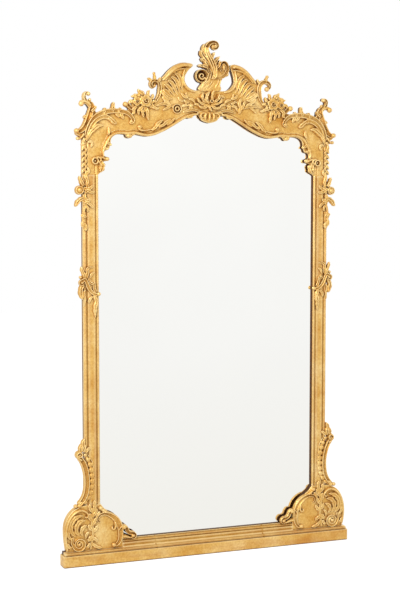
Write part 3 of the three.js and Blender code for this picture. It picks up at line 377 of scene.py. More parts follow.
    def rose(self, at, radius, relief, turn=0.4):
        """A full rose: five cupped petals round a heart that coils up."""
        self.boss(at, radius * 0.85, relief * 0.4)
        petal = (radius * 0.42, radius * 0.48, relief * 0.2)
        for k in range(5):
            angle = turn + 2 * math.pi * k / 5
            self.ball(around(at, radius * 0.62, angle), relief * 0.42, petal, angle, lift=0.12, cup=0.4)
        self.boss(at, radius * 0.5, relief * 0.64)
        walls = coil(*at, radius * 0.56, math.degrees(turn), 1.5, eye=0.18)
        self.scroll(walls, [radius * 0.1, radius * 0.12, radius * 0.13],
                    [relief, relief * 0.96, relief * 0.84], ROUND)

    def beads(self, route, count, size, out, grow=(1, 1, 1)):
        """Eggs in a row along a route, pointing across it."""
        spine = stations(route, 1.0)
        for k in range(count):
            point, tangent = spine[round(k / (count - 1) * (len(spine) - 1))][:2]
            scale = along(grow, k / (count - 1))
            angle = math.atan2(tangent.y, tangent.x)
            self.ball(point, out, [part * scale for part in size], angle, segments=10)

    def ground(self, outline, relief, foot=-SINK):
        """A low field on a smooth outline, with an eased edge."""
        points = [self.point(*point, foot) for point in smooth(outline, OUTLINE_STEP, closed=True)]
        top = slab(self.bm, points, -(relief * 0.6 - foot) * MM)
        bmesh.ops.inset_region(self.bm, faces=[top], thickness=EASED_EDGE * MM, depth=0)
        bmesh.ops.translate(self.bm, verts=top.verts, vec=(0, -relief * 0.4 * MM, 0))

    def done(self, node):
        """Fuses the bodies, softens the cuts and puts the piece in place of its node."""
        bmesh.ops.triangulate(self.bm, faces=[face for face in self.bm.faces if len(face.verts) > 4])
        piece = to_object(self.bm, "gilded_" + node)
        fuse(piece, bpy.context.scene.pier_sizes.skin, CARVING_EASE)
        dress(piece, node, "gilding" if self.plane == FACE else "base gilding")


# ---------- finishing a piece ----------
def fuse(piece, skin, ease):
    """One skin over all the bodies of a piece, eased as gesso eases a cut."""
    remesh = piece.modifiers.new("one skin", "REMESH")
    remesh.mode = "VOXEL"
    remesh.voxel_size = skin
    remesh.use_smooth_shade = True
    soften = piece.modifiers.new("gesso", "SMOOTH")
    soften.factor = 0.5
    soften.iterations = ease
    bpy.context.view_layer.update()
    mesh = bpy.data.meshes.new_from_object(piece.evaluated_get(bpy.context.evaluated_depsgraph_get()))
    old = piece.data
    piece.modifiers.clear()
    piece.data = mesh
    mesh.name = piece.name
    bpy.data.meshes.remove(old)
    for polygon in mesh.polygons:
        polygon.use_smooth = True


def coat(piece, finish):
    piece.data.materials.clear()
    piece.data.materials.append(bpy.data.materials[finish])


def dress(piece, node, finish):
    """Gives a piece its finish and puts it in place of its node."""
    coat(piece, finish)
    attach(piece, "root")
    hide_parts(node)


# ---------- straight mouldings ----------
MOULDING_PITCH = 6 * MM  # between the rings of a moulding


def moulding(node, section, start, end, axis, finish="plain gilding"):
    """A moulding of [a, b] section points in metres, run along X ("x") or upwards ("z")."""
    count = max(2, round((end - start) / MOULDING_PITCH))
    rings = []
    for k in range(count + 1):
        run = lerp(start, end, k / count)
        rings.append([(run, a, b) if axis == "x" else (a, b, run) for a, b in section])
    bm = bmesh.new()
    sweep(bm, rings)
    dress(to_object(bm, "gilded_" + node), node, finish)


def arc(middle, radius, start, end, count):
    """Section points on an arc, in the section's own units, with angles in degrees."""
    return [around(middle, radius, math.radians(lerp(start, end, k / count))) for k in range(count + 1)]


def pilaster_section(side):
    """Outer bead, quirk, broad flat band, quirk and a bead beside the plate."""
    outer, inner, face = right_pilaster[1].x / MM, right_pilaster[0].x / MM, FACE / MM
    back = right_pilaster[1].y / MM
    bead, quirk = bpy.context.scene.pier_sizes.bead / MM, bpy.context.scene.pier_sizes.quirk / MM
    points = [
        (outer, back), (outer, face + 7),
        *arc((outer - bead, face + bead), bead, 0, -150, 12)[1:],
        (outer - bead * 2 - 1, face + quirk + 0.4), (outer - 17.6, face + quirk + 0.2),
        (outer - 19.4, face + 1.4), (outer - 21.5, face + 0.5), (outer - 30, face + 0.1),
        (outer - 38, face + 0.1), (inner + 20, face + 0.5), (inner + 18.2, face + 1.2),
        (inner + 16.8, face + quirk - 0.2), (inner + 13.6, face + quirk),
        *arc((inner + 6.6, face + 5.2), 5.3, -20, -180, 10),
        (inner + 0.4, face + 6.6), (inner, face + 8), (inner, back),
    ]
    return [(side * a * MM, b * MM) for a, b in points]


def rail_section():
    """A splayed foot, a broad flat band, a bead and a small one beside the plate."""
    low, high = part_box("sight_rail_bottom")
    foot, lip, back, face = low.z / MM, high.z / MM, high.y / MM, FACE / MM
    points = [
        (back, foot), (face - 9, foot), (face - 9, foot + 3.2), (face - 7.6, foot + 5.2),
        (face - 5.4, foot + 7.4), (face - 5.2, foot + 9), (face - 5.6, foot + 13),
        (face - 5.0, foot + 18.2), (face - 3.0, foot + 20),
        *arc((face + 1.6, lip - 12), 3.4, 232, 140, 8),
        (face + 2.6, lip - 6.4), (face + 4.4, lip - 4.8),
        *arc((face + 5.6, lip - 2.4), 2.3, 250, 110, 6), (back, lip),
    ]
    return [(a * MM, b * MM) for a, b in points]


def cap_section():
    """A rounded nose under a small flat step."""
    low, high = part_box("plinth_cap")
    front, foot, top, back = low.y / MM, low.z / MM, high.z / MM, high.y / MM
    points = [
        (front + 3.2, foot), (front + 2.4, foot + 1.6), (front + 0.8, foot + 2.8),
        *arc((front + 4.6, foot + 7.4), 4.6, 215, 105, 8),
        (front + 6.4, top - 0.4), (front + 8, top), (back, top), (back, foot),
    ]
    return [(a * MM, b * MM) for a, b in points]


# ---------- sawn boards ----------
PAST = 1 * MM  # how far a cutter reaches past the board
BACKBOARD_LAP = 20 * MM  # how far the backboards' rebate runs up past the plate's


def sawn_board(node, outline, side, face, grooves=(), joints=()):
    """A board on a smooth outline, rebated behind for the plate and backboards."""
    bm = bmesh.new()
    slab(bm, [(side * fitted(a, ACROSS), face, fitted(b, UP)) for a, b in outline], FRAME_BACK - face)
    bmesh.ops.triangulate(bm, faces=bm.faces)
    piece = to_object(bm, "gilded_" + node)
    for tool in [*pockets(), *(groove(across, side, foot, top) for across, foot, top in grooves)]:
        cut = piece.modifiers.new("cut", "BOOLEAN")
        cut.operation = "DIFFERENCE"
        cut.solver = "EXACT"
        cut.object = tool
    fuse(piece, bpy.context.scene.pier_sizes.board_skin, BOARD_EASE)
    for at, outwards in joints:
        trim(piece, at, outwards)
    dress(piece, node, "gilding" if face == FACE else "base gilding")


def trim(piece, at, outwards):
    """Cuts a board off square at a joint and closes it."""
    bm = bmesh.new()
    bm.from_mesh(piece.data)
    geom = [*bm.verts, *bm.edges, *bm.faces]
    bmesh.ops.bisect_plane(bm, geom=geom, dist=1e-6, plane_co=at, plane_no=outwards, clear_outer=True)
    rim = [edge for edge in bm.edges if edge.is_boundary]
    caps = bmesh.ops.holes_fill(bm, edges=rim, sides=0)["faces"]
    for edge in rim:
        edge.smooth = False
    bmesh.ops.triangulate(bm, faces=caps)
    bm.to_mesh(piece.data)
    bm.free()


def groove(across, side, foot, top):
    """A cutter that carries a quirk of the pilaster up the corner board, to a point."""
    low, high = (side * fitted(across + shift, ACROSS) for shift in (-3.2, 3.2))
    foot, top = fitted(foot, UP) - 12 * MM, fitted(top, UP)
    taper = top - 25 * MM
    outline = [(low, foot), (high, foot), (high, taper), ((low + high) / 2, top), (low, taper)]
    return cutter("groove", outline, FACE - PAST, FACE + 3.4 * MM)


def cutter(name, outline, front, back):
    """A hidden prism on [x, z] points in metres, between two planes."""
    bm = bmesh.new()
    slab(bm, [(x, front, z) for x, z in outline], back - front)
    bmesh.ops.triangulate(bm, faces=bm.faces)
    tool = to_object(bm, name)
    tool.hide_render = True
    return tool


def pockets():
    """The rebates for the plate and for the backboards, as cutters made once."""
    made = [bpy.data.objects.get(name) for name in ("plate pocket", "backboard pocket")]
    if all(made):
        return made
    made = []
    for name, box, front, spread in (
        ("plate pocket", plate_box, REBATE, SLACK),
        ("backboard pocket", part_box("backboard_1"), plate_box[1].y + SLACK, BACKBOARD_LAP + SLACK),
    ):
        half, foot = box[1].x + SLACK, box[0].z - SLACK
        # the stile's top, and two points of the arch
        right = [(half, foot), (half, fitted(1842, UP) + spread)]
        right += [(fitted(a, ACROSS), fitted(b, UP) + spread) for a, b in ((262, 1852), (84, 1907))]
        outline = right + [(-x, z) for x, z in reversed(right)]
        made.append(cutter(name, outline, front, FRAME_BACK + PAST))
    return made


def edge_line(*runs):
    """One outline from runs of points: a run in a tuple is smoothed, a list stays straight."""
    outline = []
    for run in runs:
        points = [(p.x, p.y) for p in smooth(list(run), OUTLINE_STEP)] if isinstance(run, tuple) else run
        if outline and math.dist(outline[-1], points[0]) < 0.01:
            points = points[1:]
        outline += points
    if math.dist(outline[0], outline[-1]) < 0.01:
        outline.pop()
    return outline


BASE_OUTER = (
    (644, 61), (648, 88), (651, 118), (652, 158), (647, 188), (634, 214), (616, 234), (598, 245),
    (580, 251), (561, 255),
)
BASE_INNER = (
    (493, 255), (486, 245), (478, 235), (464, 224), (444, 207), (424, 184), (409, 158), (402, 136),
    (398, 112), (398, 61),
)
CREST_SIGHT = (
    (0, 1863), (22, 1868), (38, 1877), (44, 1893), (60, 1896), (80, 1890), (92, 1880), (105, 1884),
    (125, 1874), (150, 1859), (175, 1844), (202, 1829), (230, 1816), (250, 1809),
)
CORNER_SIGHT = (
    (250, 1809), (280, 1804), (302, 1805), (325, 1811), (341, 1806), (352, 1794), (372, 1799),
    (380, 1812), (396, 1812), (414, 1808), (430, 1799), (438, 1788), (441, 1768), (449, 1745),
    (464, 1740), (469, 1722), (450, 1710), (456, 1699), (474, 1693), (471, 1676), (480, 1654), (493, 1643),
)
CORNER_TOP = (
    (250, 1943), (262, 1945), (268, 1968), (280, 1980), (292, 1972), (306, 1975), (318, 1960),
    (332, 1962), (342, 1942), (352, 1922), (366, 1911), (395, 1909), (415, 1911), (440, 1911),
    (468, 1906), (486, 1896), (500, 1896), (512, 1921), (528, 1943), (545, 1950), (552, 1938),
    (537, 1922), (530, 1898), (538, 1873), (550, 1845), (570, 1830), (588, 1823), (587, 1806),
    (575, 1798), (561, 1788),
)
WING_TOP = (
    (250, 1943), (243, 1956), (232, 1980), (228, 2010), (222, 2034), (214, 2049), (203, 2060),
    (184, 2081), (163, 2098), (138, 2110), (110, 2114),
)
OPENING = ((110, 2060), (112, 2038), (100, 2018), (84, 2004), (64, 2000))


def mirrored(run):
    """The same run on the left half, drawn the other way."""
    return type(run)((-a, b) for a, b in reversed(run))


def base_boards():
    for word, side in SIDES:
        sawn_board(f"base_board_{word}", edge_line(BASE_OUTER, BASE_INNER), side, BASE_FACE)


def corner_boards():
    for word, side in SIDES:
        # the board is drawn past its joints, and cut at them once its edges are eased
        sight = tuple(reversed(CORNER_SIGHT))
        outline = edge_line([(561, 1635), (493, 1635)], sight, [(243, 1811), (243, 1956)], CORNER_TOP)
        seam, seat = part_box(f"corner_board_{word}")[0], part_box(f"pilaster_{word}")[1].z
        joints = (((BOARD_JOINT * side, 0, 0), (-side, 0, 0)), ((0, 0, max(seat, seam.z)), (0, 0, -1)))
        sawn_board(f"corner_board_{word}", outline, side, FACE,
                   grooves=((544, 1643, 1800), (508, 1643, 1700)), joints=joints)


def crest_board():
    left_tip = ((110, 2114), (86, 2113), (74, 2106), (80, 2097), (96, 2082), (110, 2060))
    right_tip = ((110, 2114), (98, 2111), (96, 2104), (98, 2094), (104, 2078), (110, 2060))
    past = [(257, 1808), (257, 1944)]
    right = (CREST_SIGHT, past, WING_TOP, right_tip, OPENING)
    left = (mirrored(run) for run in (OPENING, left_tip, WING_TOP, past, CREST_SIGHT))
    joints = [((end * BOARD_JOINT, 0, 0), (end, 0, 0)) for end in (-1, 1)]
    sawn_board("crest_board", edge_line(*right, *left), 1, FACE, joints=joints)


# ---------- carving of the crest ----------
def wing_carving(word, side, tip):
    """The arched rim with its step, the rim of the opening and a fan of broad flutes."""
    carving = Carving(side)
    arch = [(215, 2036), (206, 2046), (196, 2056), (178, 2075), (158, 2091), (134, 2102), (112, 2106),
            (tip + 9, 2104), (tip, 2101)]
    carving.scroll(arch, [6, 9.5, 10, 10, 9], [8, 15, 18, 18, 14], RIM, foot=-14)
    step = [(200, 2036), (186, 2054), (168, 2071), (147, 2083), (124, 2088), (106, 2087)]
    carving.scroll(step, [3, 5, 5.5, 5, 4], [6, 9, 11, 10, 8], ROUND)
    opening = [(118, 2094), (116, 2080), (121, 2060), (120, 2038), (109, 2015), (90, 2000), (64, 1993)]
    carving.scroll(opening, [4, 6, 7.5, 7.5, 6], [6, 9, 11, 11, 7], ROUND, foot=-3)
    for route in (
        [(119, 1992), (126, 2012), (131, 2036), (142, 2057), (159, 2069)],
        [(131, 1983), (140, 2004), (147, 2026), (158, 2043), (175, 2053)],
        [(144, 1977), (155, 1997), (164, 2015), (175, 2029), (190, 2037)],
        [(157, 1972), (170, 1990), (181, 2004), (192, 2014), (205, 2021)],
        [(171, 1968), (185, 1981), (197, 1991), (211, 2001)],
    ):
        carving.scroll(route, [2, 6, 9, 9, 4], [1, 6, 10, 12, 9], HOLLOW)
    for row in (
        ([(216, 1998), (206, 1978), (190, 1964), (168, 1962)], [6, 10, 9, 3], [6, 10, 9, 4], 3),
        ([(214, 1970), (200, 1954), (182, 1950)], [5, 8, 3], [5, 8, 4], 2),
        ([(128, 1986), (116, 1972), (98, 1966)], [5, 9, 3], [5, 9, 4], 2),
        ([(144, 1970), (134, 1956), (118, 1952)], [4, 7, 3], [4, 7, 4], 2),
    ):
        carving.leaf(*row)
    carving.done(f"wing_carving_{word}")


def shoulder_volute(word, side):
    """A C that rises from the wing's foot: closed in a curl on the left, open with a bead on the right."""
    carving = Carving(side)
    deep = [-4, -10, -10, -10, -10, -10, -10, -10, -10, -8, -6, -4]
    if word == "left":
        strap = [(250, 2014), (257, 2005), (265, 2012), (267, 2023), (259, 2033), (245, 2035), (232, 2028),
                 (226, 2011), (226, 1992), (232, 1970), (246, 1949), (262, 1936)]
        carving.scroll(strap, [4, 5, 6, 6.5, 7, 7.5, 8, 8.5, 8, 7, 6, 4],
                       [17, 18, 18, 18, 17, 16, 15, 13, 11, 10, 8, 6], flipped(HOLLOW), foot=deep)
        carving.boss((250, 2019), 11, 6, foot=-8)
        carving.ball((251, 2013), 8, (7, 7, 9))
        spurs = ([(250, 2034), (247, 2048), (250, 2062)], [(262, 2030), (269, 2040), (279, 2045)],
                 [(234, 2030), (225, 2040), (222, 2050)])
        carving.ball((250, 2064), 0, (7, 7, 8))
    else:
        strap = [(264, 2014), (274, 2018), (277, 2029), (269, 2040), (254, 2044), (240, 2039), (230, 2026),
                 (227, 2008), (230, 1988), (237, 1966), (248, 1949), (262, 1936)]
        carving.scroll(strap, [5, 6, 8, 9, 10, 10, 10, 9.5, 8.5, 7, 6, 4],
                       [17, 18, 18, 18, 17, 16, 15, 13, 11, 10, 8, 6], flipped(HOLLOW), foot=deep)
        carving.ball((263, 2013), 6, (11, 11, 12))
        spurs = ([(260, 2044), (262, 2056), (267, 2066)], [(232, 2036), (223, 2044), (221, 2056)])
        carving.ball((267, 2066), 0, (8, 8, 9))
    for route in spurs:
        carving.leaf(route, [6, 6.5, 3], [11, 11, 7], lobes=1, foot=-8)
    carving.leaf([(226, 1990), (212, 1982), (206, 1968)], [5, 8, 3], [7, 9, 5], lobes=2)
    carving.done(f"shoulder_volute_{word}")


def plume():
    """The crest's curled leaf: a hooked S of flutes, a snail on the left, a rolled scroll on the right."""
    carving = Carving(1)
    deep = -24.0  # the plume is carved right through its board
    # body, which spreads on to the crest board
    body = [(-52, 2004), (-42, 2024), (-26, 2040), (-14, 2062), (-14, 2090), (-10, 2124), (-22, 2156),
            (-8, 2158), (10, 2134), (30, 2118), (52, 2110), (74, 2110), (84, 2094), (86, 2066), (72, 2060),
            (62, 2056), (55, 2046), (48, 2028), (52, 2004), (20, 1996), (-30, 1996)]
    carving.ground(body, 5, foot=deep)
    # the great leaf: flutes that bulge to the right and hook round below
    for shift, bow, half in ((-9, -8, 7), (2, 0, 8), (13, 8, 7)):
        carving.scroll([(-18 + shift * 0.5, 2184), (-16 + shift * 0.7, 2162), (-2 + shift, 2132),
                        (10 + shift, 2106), (19 + bow, 2082), (20 + bow * 0.7, 2064 - bow * 0.6),
                        (14 + bow * 0.2, 2056 - bow * 0.8), (6 - bow * 0.2, 2058 - bow * 0.7)],
                       [half * 0.6, half * 0.9, half, half, half, half * 0.8, half * 0.5],
                       [14, 17, 19, 21, 20, 18, 14], ROUND, foot=[-12, -20, deep, deep, -14, -8, -6])
    # its rolled tip, and the small leaf that stands beside it
    carving.scroll([(-16, 2148), (-19, 2168), (-14, 2186), (-3, 2199), (14, 2204), (28, 2199), (33, 2188),
                    (27, 2178), (17, 2177), (12, 2185), (18, 2190)], [8, 10, 10, 9, 8, 7.5, 7.5, 7, 6, 5, 4],
                   [14, 18, 20, 22, 23, 24, 24, 22, 20, 18, 16], HOLLOW,
                   foot=[deep, deep, -18, -14, -14, -14, -14, -14, -10])
    carving.boss((20, 2190), 17, 12, foot=-14)
    carving.ball((20, 2188), 12, (6, 6, 12))
    carving.leaf([(-24, 2146), (-31, 2164), (-31, 2182), (-25, 2197)], [6, 7, 5, 2], [12, 13, 11, 7], lobes=1,
                 foot=-20.0)
    # the snail: a dark scoop with a curl in it
    carving.boss((-37, 2061), 28, -9, top=0.94, foot=deep)
    wall = [around((-37, 2061), 26, math.radians(k)) for k in range(20, 321, 25)]
    for row in (
        (wall, [4, 3, 3, 3, 3.5, 5], [20, 17, 14, 11, 8, 4], ROUND, deep),
        ([*coil(-37, 2061, 15, 330, 1.25, eye=0.2), (-17, 2046), (-20, 2030), (-34, 2014)], [3, 4, 5, 6.5, 8,
          8, 5], [12, 12, 11, 10, 9, 8, 6], ROUND, -18.0),
        ([(-10, 2096), (-2, 2078), (-6, 2056), (-16, 2036), (-34, 2016)], [5, 8, 9, 9, 6], [16, 17, 15, 12,
          7], HOLLOW, -16.0),
    ):
        carving.scroll(*row)
    # the rolled scroll on the right
    carving.scroll([(28, 2054), (44, 2056), (59, 2061), (72, 2074), (78, 2094), (73, 2113), (62, 2121),
                    (51, 2114), (47, 2098), (51, 2083), (59, 2079)], [7, 8, 8.5, 8, 7, 6.5, 6, 5.5], [12, 15,
                    18, 20, 20, 18, 15], HOLLOW, foot=deep)
    carving.ball((62, 2099), 0, (20, 12, 9), turn=math.pi / 2)
    carving.ball((62, 2099), 8, (15, 5.5, 7), turn=math.pi / 2)
    # apron of folds down to the bouquet
    for route in ([(-2, 2046), (-12, 2030), (-26, 2016), (-38, 2004)], [(16, 2044), (8, 2028), (-6, 2012),
                   (-16, 1998)], [(44, 2052), (42, 2036), (34, 2018), (26, 2004)]):
        carving.scroll(route, [5, 8, 9, 6], [8, 10, 9, 6], HOLLOW)
    # leaf tips, from the left foot over the top to the right
    for route, width, relief in (
        ([(-10, 2118), (-22, 2134), (-34, 2150), (-44, 2168)], [9, 12, 11, 4], [15, 16, 14, 8]),
        ([(-8, 2104), (-20, 2120), (-31, 2128), (-42, 2135)], [8, 10, 8, 3], [14, 15, 12, 7]),
        ([(-10, 2096), (-24, 2102), (-38, 2104), (-54, 2104)], [8, 10, 8, 3], [13, 14, 11, 6]),
        ([(0, 2126), (9, 2140), (15, 2150), (20, 2163)], [7, 9, 7, 3], [14, 15, 12, 7]),
        ([(14, 2106), (24, 2121), (33, 2133), (44, 2146)], [8, 10, 8, 3], [15, 16, 13, 7]),
        ([(30, 2092), (36, 2104), (41, 2116), (45, 2130)], [6, 8, 6, 3], [13, 14, 12, 7]),
    ):
        carving.leaf(route, width, relief, lobes=2, foot=-20.0)
    carving.done("crest_plume")


def bouquet():
    """A loose bunch: curled leaves of all sizes with deep gaps between them."""
    carving = Carving(1)
    for route, width, relief in (
        ([(-6, 1944), (-18, 1958), (-20, 1976), (-6, 1996)], [5, 9, 9, 2], 26),
        ([(-2, 1946), (8, 1960), (6, 1978), (16, 2004)], [4, 7, 7, 2], 20),
        ([(-10, 1948), (-30, 1956), (-38, 1970), (-34, 1990)], [4, 8, 8, 2], 20),
        ([(-14, 1940), (-34, 1942), (-50, 1952), (-62, 1970)], [4, 8, 7, 2], 17),
        ([(4, 1950), (22, 1956), (36, 1968), (37, 1988)], [4, 8, 9, 2], 24),
        ([(6, 1944), (28, 1944), (46, 1954), (52, 1974)], [4, 7, 8, 2], 18),
        ([(24, 1956), (40, 1974), (54, 1978), (66, 1970)], [4, 8, 7, 3], 15),
        ([(-8, 1942), (-22, 1930), (-40, 1928), (-54, 1936)], [5, 9, 7, 3], 15),
        ([(4, 1942), (16, 1930), (34, 1926), (50, 1934)], [5, 9, 7, 3], 14),
        ([(-4, 1944), (-2, 1928), (8, 1912)], [5, 8, 3], 13),
    ):
        carving.leaf(route, width, [relief * 0.6, relief * 0.9, relief, relief * 0.7], lobes=2, tip=0.3)
    carving.scroll(coil(2, 1956, 9, 60, 1.2, eye=0.3), [3, 3.5, 3.5], [24, 25, 22], ROUND)
    carving.done("crest_bouquet")


def centre_lip():
    """A shell-like tab that hangs over the plate."""
    carving = Carving(1)
    carving.ground([(-46, 1900), (-40, 1884), (-27, 1873), (0, 1867), (24, 1873), (36, 1884), (43, 1900),
                    (24, 1910), (-26, 1910)], 3, foot=-10.0)
    for route, relief in (([(-14, 1908), (-22, 1892), (-19, 1874)], 12),
                          ([(-1, 1910), (-3, 1890), (-4, 1868)], 15), ([(13, 1908), (18, 1892), (15, 1874)],
                           12)):
        carving.scroll(route, [6, 9, 9, 6], [relief * 0.7, relief, relief, relief * 0.7], ROUND, foot=-8.0)
    for end in (-1, 1):
        carving.scroll([(18 * end, 1906), (34 * end, 1904), (43 * end, 1894), (36 * end, 1884),
                        (29 * end, 1888)], [5, 6, 6, 5, 4], [9, 11, 12, 12, 11], ROUND, foot=-8.0)
        carving.leaf([(28 * end, 1906), (44 * end, 1908), (60 * end, 1902)], [5, 7, 3], [8, 9, 5], lobes=2)
    carving.done("centre_lip")


def garland(word, side):
    """A flower between two runs of leaves, over a low strap."""
    carving = Carving(side)
    carving.scroll([(40, 1908), (58, 1914), (80, 1917), (102, 1913), (122, 1906)], [4, 6, 6.5, 6, 3],
                   [7, 10, 10, 9, 4], HOLLOW)
    carving.leaf([(46, 1934), (60, 1942), (72, 1940)], [5, 8, 4], [8, 11, 7], lobes=2)
    carving.blossom((88, 1934), 14, 13, petals=5)
    for row in (
        ([(100, 1934), (112, 1936), (126, 1928)], [5, 8, 3], [8, 10, 5], 2),
        ([(68, 1948), (80, 1960), (98, 1962)], [5, 8, 3], [7, 10, 5], 2),
        ([(96, 1946), (110, 1950), (118, 1960)], [5, 7, 3], [7, 9, 5], 2),
        ([(98, 1966), (106, 1976), (108, 1990)], [4, 6, 3], [6, 8, 5], 2),
    ):
        carving.leaf(*row)
    carving.done(f"garland_{word}")


def rosette_left():
    """A round cup of petals about a bored heart, on a leafy stem."""
    carving = Carving(-1)
    carving.scroll(coil(149, 1920, 19, 0, 1.04, eye=0.99), [3, 3], [9, 9], ROUND, blunt=0.1)
    carving.scroll(coil(149, 1920, 8.5, 0, 1.06, eye=0.99), [4, 4], [12, 12], ROUND, blunt=0.1)
    carving.scroll([(164, 1928), (186, 1936), (214, 1939), (240, 1931)], [4, 6, 6, 3], [6, 9, 9, 5], HOLLOW)
    for row in (
        ([(178, 1932), (192, 1946), (210, 1952)], [5, 8, 3], [7, 9, 5], 2),
        ([(176, 1930), (194, 1922), (214, 1912)], [5, 8, 3], [6, 9, 5], 2),
        ([(134, 1924), (124, 1934), (112, 1938)], [4, 6, 3], [6, 8, 5], 2),
    ):
        carving.leaf(*row)
    carving.done("rosette_left")


def leaf_cluster_right():
    """An upright leafy stem and the spray that joins it to the corner."""
    carving = Carving(1)
    for row in (
        ([(134, 1904), (139, 1926), (135, 1948), (144, 1974)], [6, 10, 10, 3], [8, 13, 12, 6], 3),
        ([(138, 1918), (150, 1934), (157, 1948), (162, 1962)], [5, 9, 8, 3], [8, 11, 10, 5], 2),
        ([(136, 1912), (124, 1924), (120, 1940)], [5, 8, 3], [7, 10, 5], 2),
    ):
        carving.leaf(*row)
    carving.scroll([(142, 1922), (162, 1932), (190, 1937), (216, 1937), (240, 1931)], [5, 6, 6, 3],
                   [6, 9, 9, 5], HOLLOW)
    for row in (
        ([(164, 1934), (180, 1946), (200, 1950)], [5, 8, 3], [7, 9, 5], 2),
        ([(186, 1932), (202, 1922), (214, 1908)], [5, 7, 3], [6, 9, 5], 2),
    ):
        carving.leaf(*row)
    carving.done("leaf_cluster_right")


# ---------- carving of the corners ----------
def flower_spray(word, side):
    """A rose and its companions, packed close among broad leaves."""
    carving = Carving(side)
    carving.ground([(260, 1938), (266, 1958), (284, 1974), (312, 1976), (336, 1962), (352, 1938),
                    (338, 1914), (312, 1902), (282, 1908)], 5)
    for route, width in (
        ([(286, 1960), (278, 1972), (278, 1984), (270, 1995)], [7, 10, 7, 2]),
        ([(298, 1966), (305, 1982), (317, 1989), (322, 1999)], [8, 11, 8, 2]),
        ([(320, 1964), (335, 1971), (345, 1966), (353, 1970)], [7, 9, 6, 2]),
        ([(340, 1944), (354, 1946), (364, 1934)], [7, 9, 3]),
        ([(328, 1926), (342, 1914), (341, 1900), (352, 1891)], [7, 10, 8, 2]),
        ([(306, 1918), (303, 1900), (298, 1880)], [7, 9, 3]),
        ([(291, 1930), (284, 1911), (281, 1888), (277, 1868)], [6, 10, 8, 3]),
        ([(318, 1920), (322, 1904), (318, 1890)], [6, 8, 3]),
        ([(268, 1926), (254, 1924), (240, 1918), (230, 1920)], [6, 9, 7, 3]),
        ([(262, 1944), (250, 1950), (243, 1943)], [6, 8, 3]),
        ([(270, 1957), (258, 1966), (257, 1980)], [6, 9, 3]),
    ):
        carving.leaf(route, width, [10, 15, 12, 6], lobes=2, tip=0.5)
    carving.rose((290, 1949), 26, 25)
    carving.rose((328, 1946), 19, 22, 1.0)
    carving.rose((303, 1916), 15, 19, 0.2)
    carving.rose((268, 1933), 13, 18, 0.8)
    carving.rose((314, 1973), 13, 18)
    carving.done(f"flower_spray_{word}")


def ear_scroll(word, side):
    """The ear: a broad strap that forks into a curl and a knob, and the small scroll under it."""
    carving = Carving(side)
    deep = -19.0
    rise = [(592, 1818), (574, 1819), (557, 1831), (544, 1852), (535, 1876), (526, 1900), (521, 1922),
            (530, 1940)]
    for row in (
        (rise, [9, 11, 13, 14, 14, 14, 13, 10], [11, 13, 14, 14, 13, 12, 12, 12], HOLLOW, deep),
        ([(530, 1930), (544, 1942), (552, 1958), (549, 1972), (538, 1977), (532, 1970)], [10, 9, 8, 8, 7, 5],
         [12, 12, 13, 14, 14, 13], RIDGED, deep),
    ):
        carving.scroll(*row)
    carving.ball((536, 1972), 3, (9, 9, 12))
    carving.scroll([(526, 1926), (544, 1938), (560, 1940), (569, 1932)], [9, 9, 9, 7], [12, 13, 14, 13],
                   ROUND, foot=deep)
    carving.ball((567, 1931), 3, (12, 12, 13))
    carving.ball((587, 1820), 2, (12, 11, 14))
    carving.scroll([(556, 1812), (562, 1800), (572, 1790), (583, 1788)], [9, 8, 7, 6], [10, 11, 10, 9], ROUND,
                   foot=deep)
    carving.ball((583, 1789), 1, (8, 8, 9))
    for row in (
        ([(524, 1900), (512, 1910), (503, 1924)], [8, 9, 4], [11, 11, 7], 2, -14.0),
        ([(540, 1880), (549, 1880), (557, 1872)], [7, 7, 3], [9, 9, 6], 2, -14.0),
    ):
        carving.leaf(*row)
    carving.ball((529, 1948), -2, (7, 7, 9))
    carving.done(f"ear_scroll_{word}")


